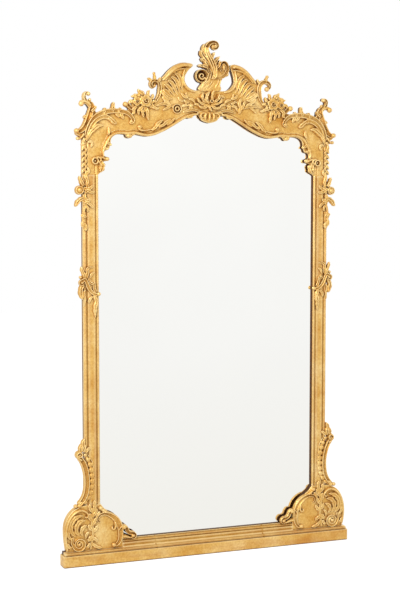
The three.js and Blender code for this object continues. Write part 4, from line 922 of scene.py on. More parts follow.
def corner_acanthus(word, side):
    """Nested crescents that arch over the corner from the stile, each with a lobed end."""
    carving = Carving(side)
    band = [(549, 1796), (543, 1820), (528, 1855), (508, 1879), (482, 1893), (452, 1902), (420, 1905),
            (392, 1903), (368, 1896), (352, 1882), (344, 1866), (352, 1857), (360, 1862)]
    carving.scroll(band, [7, 10, 11, 11.5, 11, 10, 8, 6], [9, 14, 15, 15, 15, 15, 14, 12], HOLLOW, foot=-6)
    carving.ball((352, 1863), 5, (8, 8, 8))
    second = [(546, 1778), (541, 1800), (529, 1832), (511, 1858), (489, 1874), (466, 1880), (446, 1873),
              (432, 1858)]
    carving.scroll(second, [4, 6, 8, 9, 9.5, 9.5, 9, 7], [6, 9, 12, 13, 14, 13, 12, 10], HOLLOW)
    for row in (
        ([(452, 1878), (438, 1868), (428, 1858), (416, 1852)], [9, 12, 12, 5], [12, 13, 12, 7], 3),
        ([(541, 1788), (528, 1814), (512, 1830), (494, 1843), (472, 1844)], [5, 10, 12, 11, 4], [7, 12, 13,
          12, 6], 4),
        ([(540, 1772), (529, 1778), (522, 1768), (528, 1752)], [5, 7, 7, 3], [8, 10, 9, 5], 2),
        ([(400, 1898), (392, 1884), (386, 1872)], [7, 10, 4], [9, 11, 6], 2),
        ([(420, 1898), (410, 1886), (400, 1880)], [6, 9, 4], [9, 10, 6], 2),
        ([(555, 1792), (560, 1772), (563, 1744)], [6, 8, 3], [8, 9, 5], 3, -8.0),
    ):
        carving.leaf(*row)
    for step in range(5):
        up = 1752 - 23 * step
        for row in (
            ([(550, up + 8), (559, up), (566, up - 13)], [5, 7, 3], [7, 9, 5], 2, -8.0),
            ([(556, up + 2), (548, up - 8), (547, up - 18)], [4, 6, 3], [6, 8, 4], 1),
        ):
            carving.leaf(*row)
    # tips that stand over the board's edge
    carving.scroll([(336, 1912), (352, 1918), (366, 1930), (375, 1937)], [8, 9, 10, 9], [12, 13, 14, 14],
                   HOLLOW, foot=-17.0)
    carving.ball((377, 1933), 2, (12, 12, 14))
    for row in (
        ([(434, 1902), (430, 1920), (428, 1942)], [9, 10, 4], [13, 13, 7], 2, -17.0),
        ([(474, 1892), (468, 1904), (464, 1918)], [8, 8, 4], [12, 12, 8], 2, -17.0),
        ([(410, 1902), (402, 1910), (398, 1920)], [7, 7, 3], [12, 11, 7], 2, -14.0),
    ):
        carving.leaf(*row)
    carving.done(f"corner_acanthus_{word}")


def sight_lip(word, side):
    """The broad rolled lip along the shaped sight edge, with its leaf runs."""
    carving = Carving(side)
    lip = [(475, 1712), (478, 1736), (470, 1760), (459, 1782), (446, 1802), (422, 1816), (396, 1820),
           (366, 1818), (338, 1821), (310, 1816), (280, 1812), (252, 1817), (229, 1826), (203, 1838),
           (176, 1853), (151, 1868), (125, 1883), (102, 1894), (76, 1902), (54, 1903)]
    carving.scroll(lip, [8, 10, 10, 10, 9], [9, 12, 13, 12, 10], LIP, foot=-8)
    carving.ball((361, 1803), 1, (14, 10, 11), turn=0.2)
    carving.ball((344, 1812), 4, (10, 8, 9), turn=0.2)
    for row in (
        ([(464, 1778), (450, 1770), (437, 1762)], [7, 9, 4], [10, 11, 7], 2, -10),
        ([(474, 1756), (462, 1748), (451, 1749)], [6, 8, 4], [10, 10, 7], 2, -10),
        ([(452, 1806), (449, 1822), (451, 1840)], [6, 8, 4], [10, 10, 6], 2),
    ):
        carving.leaf(*row)
    carving.ball((315, 1841), 3, (11, 10, 10))
    carving.scroll([(322, 1836), (312, 1828), (298, 1826), (280, 1828), (258, 1834)], [5, 6, 5, 3], [10, 10,
                    8, 5], ROUND)
    for row in (
        ([(262, 1828), (246, 1840), (232, 1858), (212, 1872)], [5, 10, 10, 3], [8, 11, 10, 5], 3),
        ([(232, 1842), (212, 1850), (196, 1864), (176, 1876)], [5, 9, 9, 3], [8, 11, 9, 5], 3),
        ([(196, 1852), (176, 1864), (158, 1882)], [5, 8, 3], [7, 10, 5], 2),
        ([(108, 1890), (90, 1888), (76, 1892)], [6, 9, 4], [10, 12, 7], 2),
    ):
        carving.leaf(*row)
    carving.done(f"sight_lip_{word}")


def sight_drop(word, side):
    """A ringed volute with a knob over the plate, above a lobed drop."""
    carving = Carving(side)
    carving.leaf([(492, 1702), (480, 1684), (480, 1668), (489, 1650)], [10, 15, 14, 5], [9, 14, 13, 7],
                 lobes=4, flutes=2, foot=-10)
    carving.ball((480, 1684), 5, (11, 10, 9), turn=0.9)
    carving.ball((486, 1668), 5, (9, 9, 8), turn=1.2)
    carving.scroll(coil(509, 1698, 12.5, 110, 1.05, eye=0.95), [4.6, 4.6], [13, 13], ROUND, blunt=0.2)
    carving.ball((509, 1698), 2, (4.5, 4.5, 7))
    for row in (
        ([(506, 1711), (494, 1713), (486, 1706), (488, 1696), (496, 1696)], [5, 6, 6, 5, 4], [12, 13, 13, 12,
          11], ROUND),
        ([(494, 1712), (478, 1712), (466, 1706), (456, 1706)], [5, 7, 7, 7], [10, 12, 12, 12], ROUND, -10),
    ):
        carving.scroll(*row)
    carving.ball((457, 1706), 3, (10, 9, 12))
    carving.done(f"sight_drop_{word}")


# ---------- carving of the stiles ----------
def flower_drop(word, side):
    """A hanging run of flowers, a fruit and leaves on the outer bead of the stile."""
    carving = Carving(side)
    over = -10.0
    for row in (
        ([(560, 1594), (568, 1610), (573, 1622), (577, 1636)], [9, 10, 8, 3], [11, 13, 11, 6], 2, over),
        ([(548, 1594), (544, 1614), (550, 1634), (547, 1658)], [7, 10, 9, 3], [10, 12, 11, 6], 3),
        ([(544, 1642), (537, 1656), (542, 1672)], [5, 8, 3], [8, 10, 5], 2),
        ([(540, 1580), (528, 1588), (516, 1600)], [7, 9, 4], [10, 12, 6], 2),
        ([(538, 1572), (524, 1568), (512, 1572)], [7, 9, 4], [10, 11, 6], 2),
        ([(560, 1544), (574, 1538), (586, 1526), (595, 1508)], [9, 11, 10, 4], [12, 14, 12, 7], 3, over),
        ([(540, 1524), (528, 1514), (520, 1502)], [6, 9, 4], [9, 11, 6], 2),
        ([(548, 1514), (542, 1500), (544, 1486)], [6, 8, 3], [9, 11, 5], 2),
    ):
        carving.leaf(*row)
    carving.blossom((543, 1580), 20, 17, petals=5)
    carving.boss((577, 1577), 19, 10, foot=over)
    carving.scroll(coil(577, 1577, 15.5, 0, 1.03, eye=0.98), [4, 4], [13, 13], ROUND, foot=over, blunt=0.1)
    carving.ball((577, 1577), 6, (12, 12, 13))
    carving.blossom((548, 1530), 19, 17, petals=5, turn=0.1)
    for row in (
        ([(553, 1564), (556, 1548), (552, 1536)], [7, 9, 7], [9, 10, 9], RIDGED),
        ([(554, 1514), (558, 1498), (561, 1478), (561, 1444), (557, 1408)], [7, 6, 6, 5, 3], [10, 10, 9, 7,
          4], RIDGED),
    ):
        carving.scroll(*row)
    carving.blossom((561, 1470), 14, 14, petals=4)
    for row in (
        ([(558, 1454), (565, 1438), (563, 1420)], [5, 8, 3], [8, 10, 5], 2),
        ([(557, 1440), (548, 1426), (551, 1408)], [5, 7, 3], [7, 9, 5], 2),
    ):
        carving.leaf(*row)
    carving.done(f"flower_drop_{word}")


def middle_ornament(word, side):
    """Crossed C-scrolls half way up the stile."""
    carving = Carving(side)
    for row in (
        ([(562, 1186), (573, 1170), (574, 1150), (568, 1124)], [8, 12, 11, 4], [10, 13, 11, 6], 3, -9.0),
        ([(516, 1140), (509, 1114), (514, 1084), (512, 1046)], [8, 11, 9, 3], [10, 13, 11, 5], 4),
        ([(524, 1136), (536, 1124), (540, 1106)], [6, 9, 3], [8, 11, 5], 2),
        ([(556, 1206), (560, 1226), (568, 1244), (572, 1262)], [7, 9, 8, 3], [9, 12, 10, 6], 2, -6.0),
    ):
        carving.leaf(*row)
    carving.scroll([(549, 1210), (546, 1230), (547, 1248), (536, 1258), (518, 1256)], [5, 6, 6, 5, 3],
                   [8, 10, 10, 9, 5], HOLLOW)
    carving.leaf([(534, 1212), (528, 1228), (516, 1236)], [5, 8, 3], [8, 10, 5], lobes=2)
    carving.volute((529, 1196), 13, 190, -1.1, [(518, 1184), (516, 1168), (508, 1152)], [5, 6.5, 6.5, 5],
                   [12, 13, 13, 12, 10])
    carving.volute((570, 1192), 17, 100, 1.15, [(558, 1207), (549, 1192), (541, 1172), (528, 1154),
                    (512, 1144), (498, 1145)], [7, 8, 8.5, 8, 7, 6], [14, 15, 15, 14, 12, 11])
    carving.ball((497, 1145), 4, (9, 9, 10))
    carving.ball((574, 1216), -1, (8, 7, 9))
    carving.scroll([(554, 1166), (562, 1146), (556, 1122), (560, 1096)], [3, 6, 6, 3], [6, 9, 8, 4], RIDGED)
    carving.done(f"middle_ornament_{word}")


def side_bracket(word, side):
    """The concave bracket above the base: a volute, a strap and a run of rocaille cabochons."""
    carving = Carving(side)
    over = -15.0
    for row in (
        ([(588, 460), (575, 446), (563, 420), (555, 386), (553, 344), (559, 304), (572, 278), (592, 257)],
         [11, 12, 12, 12, 12, 12, 11, 8], [12, 14, 14, 13, 13, 13, 13, 12], HOLLOW, over),
        ([*coil(584, 471, 13, 300, -1.15, eye=0.55), (574, 446)], [5, 6, 6.5, 7], [16, 16, 15, 14], ROUND,
         over),
    ):
        carving.scroll(*row)
    carving.boss((584, 471), 16, 2, foot=over)
    carving.ball((584, 471), 4, (5.5, 5.5, 9))
    carving.boss((579, 264), 15, 4, foot=over)
    carving.ball((603, 254), 0, (10, 9, 12))
    carving.ball((586, 254), 2, (11, 9, 10))
    carving.leaf([(572, 270), (582, 262), (590, 248)], [7, 9, 4], [10, 11, 6], lobes=2, foot=-8.0)
    inner = [(560, 468), (545, 442), (536, 410), (532, 378), (532, 345), (537, 312), (547, 286), (562, 268)]
    carving.scroll(inner, [6, 9, 9, 9, 9, 7], [3, 4, 4, 4, 3], ROUND)
    carving.beads(inner, 10, (11.5, 12, 6), 3, grow=(0.7, 1, 1, 1, 0.8))
    carving.scroll([(548, 470), (530, 440), (524, 400), (522, 360), (526, 316), (536, 290)], [2, 3, 3, 3, 2],
                   [3, 5, 5, 5, 3], ROUND)
    for row in (
        ([(572, 484), (566, 500), (570, 518), (562, 540)], [10, 12, 10, 4], [12, 14, 11, 6], 2, -6),
        ([(582, 486), (582, 502), (573, 518)], [7, 8, 4], [10, 11, 6], 2, -10.0),
        ([(560, 480), (548, 494), (538, 500)], [7, 9, 4], [9, 11, 6], 2),
    ):
        carving.leaf(*row)
    carving.done(f"side_bracket_{word}")


# ---------- carving of the base ----------
def base_outer_scroll(word, side):
    """A rimmed lobe with a spiral rosette and a fan of hooked leaves."""
    carving = Carving(side, BASE_FACE)
    rim = [(640, 66), (645, 90), (648, 120), (646, 156), (638, 188), (622, 214), (600, 231), (580, 236),
           (561, 228), (551, 213), (558, 204), (567, 208)]
    carving.scroll(rim, [5, 6, 7, 7.5, 8, 8, 8, 8, 7.5, 7, 5], [8, 10, 11, 12, 12, 12, 12, 12, 13, 13, 12],
                   ROUND, foot=-10)
    for route, width, lobes in (
        ([(606, 126), (622, 146), (627, 172), (614, 198), (590, 212), (572, 214)], [5, 12, 14, 13, 10, 3], 5),
        ([(590, 128), (602, 148), (600, 172), (584, 190), (562, 192)], [5, 12, 13, 11, 3], 4),
        ([(574, 126), (582, 144), (574, 162), (556, 172)], [4, 10, 11, 3], 3),
        ([(562, 112), (560, 130), (548, 144)], [4, 9, 3], 2),
        ([(620, 112), (634, 126), (640, 148), (638, 172)], [4, 9, 9, 3], 3),
        ([(622, 78), (634, 84), (641, 100)], [6, 9, 4], 2),
        ([(562, 74), (550, 82), (544, 96)], [6, 9, 4], 2),
    ):
        carving.leaf(route, width, [5, 10, 10, 5], lobes=lobes, tip=0.4)
    carving.volute((590, 92), 34, 350, 1.7, [(622, 104), (617, 124)], [7.5, 7, 5], [12, 12, 12, 11, 10, 9],
                   dish=0.2)
    carving.done(f"base_outer_scroll_{word}")


def base_inner_scroll(word, side):
    """A broad C about a plain field, with its curls and the two steps out on to the rail."""
    carving = Carving(side, BASE_FACE)
    band = [(496, 178), (506, 184), (508, 199), (496, 211), (474, 214), (450, 204), (429, 186), (415, 162),
            (409, 134), (410, 104), (420, 82), (436, 72)]
    carving.scroll(band, [5, 6, 7, 9, 12, 14, 14, 13, 11, 9, 7], [9, 11, 12, 13, 13, 13, 13, 13, 12, 11, 10],
                   HOLLOW, foot=-10)
    carving.ball((438, 76), 4, (11, 10, 11))
    for row in (
        ([(434, 176), (431, 158), (438, 144), (447, 148), (444, 157)], [6, 6, 6, 5, 4], [12, 13, 13, 12, 11],
         ROUND),
        ([(470, 217), (484, 226), (495, 238)], [8, 9, 9], [12, 13, 13], ROUND, -12),
    ):
        carving.scroll(*row)
    carving.ball((496, 240), 2, (11, 10, 14))
    carving.leaf([(500, 226), (510, 212), (516, 196)], [6, 8, 4], [9, 11, 6], lobes=2)
    # the steps that run out along the rail
    step = [(414, 130), (404, 146), (391, 151), (382, 142), (377, 129), (366, 121), (351, 119), (343, 109),
            (350, 99), (360, 103)]
    carving.scroll(step, [9, 9, 9, 9, 9, 9, 8, 7, 6, 5], [11, 13, 13, 12, 12, 12, 12, 12, 11, 10], HOLLOW,
                   foot=-14)
    carving.ball((392, 148), 2, (11, 10, 13))
    carving.ball((352, 108), 1, (10, 9, 12))
    carving.scroll([(408, 104), (390, 108), (376, 104), (360, 98)], [9, 9, 7, 4], [9, 10, 10, 8], ROUND,
                   foot=-8)
    carving.done(f"base_inner_scroll_{word}")


def base_leaves(word, side):
    """The stem of leaves between the lobes, which laps up over the foot of the stile."""
    carving = Carving(side, BASE_FACE)
    carving.scroll([(540, 64), (536, 100), (530, 140), (535, 180), (530, 222), (527, 262)], [5, 7, 7, 7, 6,
                    3], [6, 8, 8, 8, 7, 3], RIDGED)
    for route in (
        [(534, 92), (522, 80), (508, 72), (490, 68)], [(534, 116), (520, 108), (508, 96)],
        [(530, 142), (518, 150), (510, 168)], [(534, 170), (522, 184), (516, 202)],
        [(532, 148), (544, 158), (548, 174)], [(534, 122), (546, 112), (550, 98)],
        [(536, 188), (544, 202), (542, 222)], [(530, 206), (518, 222), (512, 240)],
        [(532, 224), (542, 240), (544, 262)], [(528, 230), (522, 250), (524, 276)],
    ):
        carving.leaf(route, [6, 10, 9, 3], [7, 9, 8, 4], lobes=2)
    carving.done(f"base_leaves_{word}")


# ---------- joinery with plain mouldings ----------
ARRIS = 1.6 * MM  # how far the plinth's level edges are eased
WEAR_AND_HIGHLIGHT_MARGINS = (14 * MM, 14 * MM, 5 * MM)  # loops inside the plinth's edges along X, Y and Z


def plinth_block():
    """A bar with rounded corners and eased arrises."""
    low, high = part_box("plinth_block")
    bm = bmesh.new()
    bmesh.ops.create_cube(bm, size=1)
    bmesh.ops.scale(bm, vec=high - low, verts=bm.verts)
    bmesh.ops.translate(bm, vec=(low + high) / 2, verts=bm.verts)
    for upright, offset, segments in ((True, bpy.context.scene.pier_sizes.corner, 8), (False, ARRIS, 3)):
        edges = [edge for edge in bm.edges
                 if (abs(edge.verts[0].co.z - edge.verts[1].co.z) > ARRIS) == upright]
        bmesh.ops.bevel(bm, geom=edges, offset=offset, segments=segments, profile=0.5, affect="EDGES",
                        material=-1)
    # loops inside the edges, so that their wear and painted highlight stay on them
    for axis, margin in enumerate(WEAR_AND_HIGHLIGHT_MARGINS):
        across = Vector([float(axis == k) for k in range(3)])
        for level in (low[axis] + margin, high[axis] - margin):
            bmesh.ops.bisect_plane(bm, geom=[*bm.verts, *bm.edges, *bm.faces], plane_co=across * level,
                                   plane_no=across)
    dress(to_object(bm, "gilded_plinth_block"), "plinth_block", "plinth gilding")


def plain_mouldings():
    for name, section in (("plinth_cap", cap_section()), ("sight_rail_bottom", rail_section())):
        low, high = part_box(name)
        moulding(name, section, low.x, high.x, "x", "rail gilding")
    for word, side in SIDES:
        low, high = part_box(f"pilaster_{word}")
        moulding(f"pilaster_{word}", pilaster_section(side), low.z, high.z, "z")


# ---------- materials ----------
def linear(value, alpha=1.0):
    """A "#rrggbb" sRGB colour as linear RGBA."""
    parts = [int(value[k:k + 2], 16) / 255 for k in (1, 3, 5)]
    return (*[c / 12.92 if c <= 0.04045 else ((c + 0.055) / 1.055) ** 2.4 for c in parts], alpha)


def node(tree, kind, settings=None, **links):
    """Adds a node, sets its properties or sockets, and links its inputs by name."""
    made = tree.nodes.new(kind)
    for name, value in (settings or {}).items():
        if isinstance(name, int) or name in made.inputs:
            made.inputs[name].default_value = value
        else:
            setattr(made, name, value)
    for name, socket in links.items():
        key = int(name[1:]) if name[0] == "i" and name[1:].isdigit() else name.replace("_", " ")
        tree.links.new(socket, made.inputs[key])
    return made


def ramp(tree, factor, *stops):
    """A colour ramp of (position, colour or grey) stops."""
    made = node(tree, "ShaderNodeValToRGB", Fac=factor)
    elements = made.color_ramp.elements
    while len(elements) < len(stops):
        elements.new(0.5)
    for element, (position, value) in zip(elements, stops):
        element.position = position
        element.color = linear(value) if isinstance(value, str) else (value, value, value, 1)
    return made.outputs["Color"]


def plug(tree, made, inputs):
    """Fills inputs by name or number with a number, a "#rrggbb" colour or a link from a socket."""
    for key, value in inputs.items():
        if isinstance(value, bpy.types.NodeSocket):
            tree.links.new(value, made.inputs[key])
        else:
            made.inputs[key].default_value = linear(value) if isinstance(value, str) else value


def blend_colours(tree, factor, first, second, kind="MIX"):
    made = node(tree, "ShaderNodeMix", {"data_type": "RGBA", "blend_type": kind})
    plug(tree, made, {0: factor, 6: first, 7: second})
    return made.outputs[2]


def new_material(name):
    """An empty material's node tree and its shader."""
    material = bpy.data.materials.new(name)
    material.use_nodes = True
    tree = material.node_tree
    tree.nodes.clear()
    shader = node(tree, "ShaderNodeBsdfPrincipled")
    node(tree, "ShaderNodeOutputMaterial", Surface=shader.outputs["BSDF"])
    return tree, shader


def gilding(name, streaks=None, plane=None, shade_inside=None, shade=None, foot=False):
    """Water gilding: gold leaf over red clay and gesso, toned with size.

    The leaf is a satin metal. Brown in the cuts is painted shade laid in with toning and dust,
    the sharpest cuts take the darkest painted shade, high edges are pale with burnishing and a
    painted highlight, and on mouldings the clay shows red where the leaf was rubbed, in streaks
    of the given scale along X, Y and Z. What lies more than 5 mm behind the plane, and nearer
    the middle than shade_inside, is a sawn edge painted dark brown, which is painted shade as
    well as paint, and the back is painted dark brown too. A shade is painted shade that darkens
    the leaf, and a foot has a dark line of scuffs and floor polish with a painted contact shadow.
    """
    tree, shader = new_material(name)
    colours = bpy.context.scene.pier_colours
    place = node(tree, "ShaderNodeTexCoord").outputs["Object"]
    # clouds of toning, about 90 mm across
    clouds = node(tree, "ShaderNodeTexNoise", {"Scale": 11, "Detail": 4, "Roughness": 0.55}, Vector=place)
    tone = ramp(tree, clouds.outputs["Fac"], (0.3, colours.toned), (0.5, colours.leaf), (0.7, colours.bright))
    # mottling of the leaf, about 8 mm across
    mottle = node(tree, "ShaderNodeTexNoise", {"Scale": 120, "Detail": 3}, Vector=place)
    flecks = ramp(tree, mottle.outputs["Fac"], (0.35, "#cfa45c"), (0.62, "#ffffff"))
    tone = blend_colours(tree, 0.4, tone, flecks, "MULTIPLY")
    if streaks:
        # rubbed clay that runs with the moulding: streaks of about 25 mm by half a metre
        runs = node(tree, "ShaderNodeMapping", {"Scale": streaks}, Vector=place)
        rubbed = node(tree, "ShaderNodeTexNoise", {"Scale": 1, "Detail": 5, "Roughness": 0.6},
                      Vector=runs.outputs[0])
        share = ramp(tree, rubbed.outputs["Fac"], (0.48, 0.0), (0.68, 0.45))
        tone = blend_colours(tree, share, tone, colours.clay)
    # a shade is painted shade: it darkens the whole leaf of this copy of the gilding
    if shade:
        tone = blend_colours(tree, 1.0, tone, shade, "MULTIPLY")
    # painted shade in the cuts and corners, laid in with the toning that gathers there
    reach = 6 * MM if streaks else 11 * MM
    cuts = node(tree, "ShaderNodeAmbientOcclusion", {"samples": 8, "Distance": reach})
    deep = ramp(tree, cuts.outputs["AO"], (0.3, 1.0), (0.55, 0.55), (0.86, 0.0))
    tone = blend_colours(tree, deep, tone, colours.recess)
    edges = node(tree, "ShaderNodeNewGeometry").outputs["Pointiness"]
    # painted shade, darkest at the bottom of the sharpest cuts
    crease = ramp(tree, edges, (0.45, 0.8), (0.488, 0.0))
    tone = blend_colours(tree, crease, tone, colours.crease)
    # high edges pale: burnishing, and a painted highlight
    burnish_and_highlight = ramp(tree, edges, (0.508, 0.0), (0.55, 0.7))
    axes = node(tree, "ShaderNodeSeparateXYZ", Vector=place)
    span = node(tree, "ShaderNodeMath", {"operation": "ABSOLUTE"}, i0=axes.outputs["X"])
    # the joints of the boards were gilded over, so no burnishing or painted highlight picks them out
    for level, joint in ((span.outputs[0], BOARD_JOINT), (axes.outputs["Z"], STILE_TOP)):
        gap = node(tree, "ShaderNodeMath", {"operation": "SUBTRACT", 1: joint}, i0=level)
        gap = node(tree, "ShaderNodeMath", {"operation": "ABSOLUTE"}, i0=gap.outputs[0])
        clear = node(tree, "ShaderNodeMapRange", {"From Min": 2 * MM, "From Max": 4 * MM},
                     Value=gap.outputs[0])
        burnish_and_highlight = node(tree, "ShaderNodeMath", {"operation": "MULTIPLY"}, i0=burnish_and_highlight,
                       i1=clear.outputs[0]).outputs[0]
    tone = blend_colours(tree, burnish_and_highlight, tone, colours.burnished)
    if foot:
        # scuffs and floor polish in a line along the foot, with a painted contact shadow
        scuff_and_contact_shadow = node(tree, "ShaderNodeMapRange", {"From Min": 5 * MM, "From Max": 1.5 * MM},
                   Value=axes.outputs["Z"])
        tone = blend_colours(tree, scuff_and_contact_shadow.outputs[0], tone, colours.crease)
    # less metal where the painted shade of the cuts lies
    metal = ramp(tree, deep, (0.0, 0.55), (1.0, 0.12))
    # dark brown paint over the whole back, and a dark brown on the inner sawn edges that is paint and painted
    # shade
    depths = {"From Min": FRAME_BACK - 3 * MM, "From Max": FRAME_BACK - 1.5 * MM}
    painted = node(tree, "ShaderNodeMapRange", depths, Value=axes.outputs["Y"]).outputs[0]
    # the inner sawn edges only: dark brown paint and painted shade, while the lit outer edges stay gilt
    if plane is not None:
        depths = {"From Min": plane + 4 * MM, "From Max": plane + 6 * MM}
        behind = node(tree, "ShaderNodeMapRange", depths, Value=axes.outputs["Y"]).outputs[0]
        if shade_inside:
            inside = node(tree, "ShaderNodeMath", {"operation": "LESS_THAN", 1: shade_inside}, i0=span.outputs[0])
            behind = node(tree, "ShaderNodeMath", {"operation": "MULTIPLY"}, i0=behind,
                          i1=inside.outputs[0]).outputs[0]
        painted = node(tree, "ShaderNodeMath", {"operation": "MAXIMUM"}, i0=painted, i1=behind).outputs[0]
    tone = blend_colours(tree, painted, tone, colours.umber)
    bare = node(tree, "ShaderNodeMath", {"operation": "SUBTRACT", 0: 1, "use_clamp": True}, i1=painted)
    metal = node(tree, "ShaderNodeMath", {"operation": "MULTIPLY"}, i0=metal, i1=bare.outputs[0]).outputs[0]
    dull = ramp(tree, mottle.outputs["Fac"], (0.3, 0.34), (0.7, 0.5))
    # brushed gesso under the leaf: grains of about 1.5 mm and soft waves of about 12 mm
    grains = node(tree, "ShaderNodeTexNoise", {"Scale": 650, "Detail": 2}, Vector=place)
    waves = node(tree, "ShaderNodeTexNoise", {"Scale": 80, "Detail": 2}, Vector=place)
    fine = node(tree, "ShaderNodeBump", {"Strength": 0.35, "Distance": 0.2 * MM},
                Height=grains.outputs["Fac"])
    soft = node(tree, "ShaderNodeBump", {"Strength": 0.6, "Distance": 0.9 * MM}, Height=waves.outputs["Fac"],
                Normal=fine.outputs["Normal"])
    # metal where the leaf is whole, dull where dust lies
    plug(tree, shader, {"Base Color": tone, "Metallic": metal, "Specular IOR Level": 0.12, "Roughness": dull,
                        "Normal": soft.outputs["Normal"]})


def silvered_glass():
    """Old silvered plate: a mirror with a faint warm clouding of age, and a painted reflection that is paler
    at the top and darker towards the bottom.
    """
    tree, shader = new_material("silvered glass")
    place = node(tree, "ShaderNodeTexCoord").outputs["Object"]
    height = node(tree, "ShaderNodeSeparateXYZ", Vector=place).outputs["Z"]
    level = node(tree, "ShaderNodeMapRange", {"From Min": plate_box[0].z, "From Max": plate_box[1].z},
                 Value=height)
    # painted reflection: paler at the top, darker towards the bottom
    age_and_painted_reflection = ramp(tree, level.outputs[0], (0.0, "#f1f0ea"), (0.45, "#f6f6f3"), (1.0, "#fcfcfa"))
    clouds = node(tree, "ShaderNodeTexNoise", {"Scale": 1.6, "Detail": 2}, Vector=place)
    age_and_painted_reflection = blend_colours(tree, ramp(tree, clouds.outputs["Fac"], (0.35, 0.0), (0.7, 0.3)), age_and_painted_reflection, "#f1f1ee")
    plug(tree, shader, {"Base Color": age_and_painted_reflection, "Metallic": 1, "Roughness": 0.03})


def planed_pine(name, grain):
    """Old pine: broad flamed grain along the boards, fine rings, dark knots and a grey-brown age."""
    tree, shader = new_material(name)
    place = node(tree, "ShaderNodeTexCoord").outputs["Object"]
    drawn = node(tree, "ShaderNodeMapping", {"Scale": grain}, Vector=place)
    warp = node(tree, "ShaderNodeTexNoise", {"Scale": 1.6, "Detail": 3, "Distortion": 0.8},
                Vector=drawn.outputs[0])
    rings = node(tree, "ShaderNodeMath", {"operation": "MULTIPLY", 1: 20}, i0=warp.outputs["Fac"])
    wave = node(tree, "ShaderNodeMath", {"operation": "PINGPONG", 1: 0.5}, i0=rings.outputs[0])
    tone = ramp(tree, wave.outputs[0], (0.0, "#b88a52"), (0.3, "#a67640"), (0.5, "#76502a"))
    age = node(tree, "ShaderNodeTexNoise", {"Scale": 3, "Detail": 5}, Vector=drawn.outputs[0])
    tone = blend_colours(tree, ramp(tree, age.outputs["Fac"], (0.35, 0.0), (0.7, 0.75)), tone, "#5f4227")
    knots = node(tree, "ShaderNodeTexVoronoi", {"Scale": 3.1}, Vector=place)
    spots = ramp(tree, knots.outputs["Distance"], (0.03, 0.85), (0.075, 0.0))
    tone = blend_colours(tree, spots, tone, "#3a2413")
    bump = node(tree, "ShaderNodeBump", {"Strength": 0.4, "Distance": 0.3 * MM}, Height=wave.outputs[0])
    plug(tree, shader, {"Base Color": tone, "Roughness": 0.75, "Specular IOR Level": 0.2,
                        "Normal": bump.outputs["Normal"]})


def pressed_metal(name, base, dark, roughness):
    """Sheet or turned metal dulled by handling in darker marks, with painted shade in the corners."""
    tree, shader = new_material(name)
    place = node(tree, "ShaderNodeTexCoord").outputs["Object"]
    marks = node(tree, "ShaderNodeTexNoise", {"Scale": 300, "Detail": 4}, Vector=place)
    tone = blend_colours(tree, ramp(tree, marks.outputs["Fac"], (0.35, 0.0), (0.75, 0.6)), base, dark)
    # painted shade, darker in the corners
    cuts = node(tree, "ShaderNodeAmbientOcclusion", {"samples": 4, "Distance": 3 * MM})
    tone = blend_colours(tree, ramp(tree, cuts.outputs["AO"], (0.3, 0.8), (0.8, 0.0)), tone, dark)
    plug(tree, shader, {"Base Color": tone, "Metallic": 1, "Roughness": roughness})


def make_materials():
    gilding("gilding", None, FACE, 548 * MM)
    gilding("base gilding", None, BASE_FACE + 2 * MM, 515 * MM)
    gilding("plain gilding", (40, 40, 2), FACE, right_pilaster[0].x + 9 * MM)
    # a darker copy of the gilding, painted shade on the rail and the cap
    gilding("rail gilding", (2, 40, 40), FACE, shade="#e8e0d1")
    gilding("plinth gilding", (3, 30, 30), foot=True)
    silvered_glass()
    planed_pine("rough pine", (0.9, 9, 9))
    planed_pine("rough pine upright", (9, 9, 0.9))
    pressed_metal("stamped brass", "#c3a055", "#6b4f22", 0.38)
    pressed_metal("turned steel", "#9a9a96", "#4a4744", 0.42)


# ---------- plate, back and hangers ----------
def dress_cad_nodes():
    """Parts that keep the frame's own shape get their finishes."""
    plain = {"mirror_plate": "silvered glass", "back_rail_bottom": "rough pine"}
    plain.update({f"backboard_{number}": "rough pine" for number in (1, 2, 3, 4)})
    for word, _ in SIDES:
        plain.update({
            f"back_stile_{word}": "rough pine upright", f"hanger_strap_{word}": "stamped brass",
            f"hanger_ring_{word}": "stamped brass", f"hanger_screw_{word}_1": "turned steel",
            f"hanger_screw_{word}_2": "turned steel",
        })
    for name, finish in plain.items():
        coat(frame["nodes"][name], finish)


# ---------- stage ----------
CAMERA = (-2.028, -5.2123, 1.543)  # the photo's camera, as solved from the frame's lines
CAMERA_YAW = 20.855  # degrees
CAMERA_PITCH = 4.47
LENS = 78  # mm
FLOOR = 12  # half the floor's width, in metres
SKY = 0.56  # the studio's light on the mirror, beside 1.0 where the lens or a reflection sees it
# name, place, aim, size in metres and power in watts
LAMPS = (
    ("key", (-2.5, -2.5, 2.9), (0, 0, 1.3), 1.6, 92),
    ("fill", (3.9, -1.5, 1.9), (0, 0, 1.1), 1.6, 24),
    ("back", (1.5, 3.0, 2.6), (0, 0, 1.2), 2.2, 18),
)


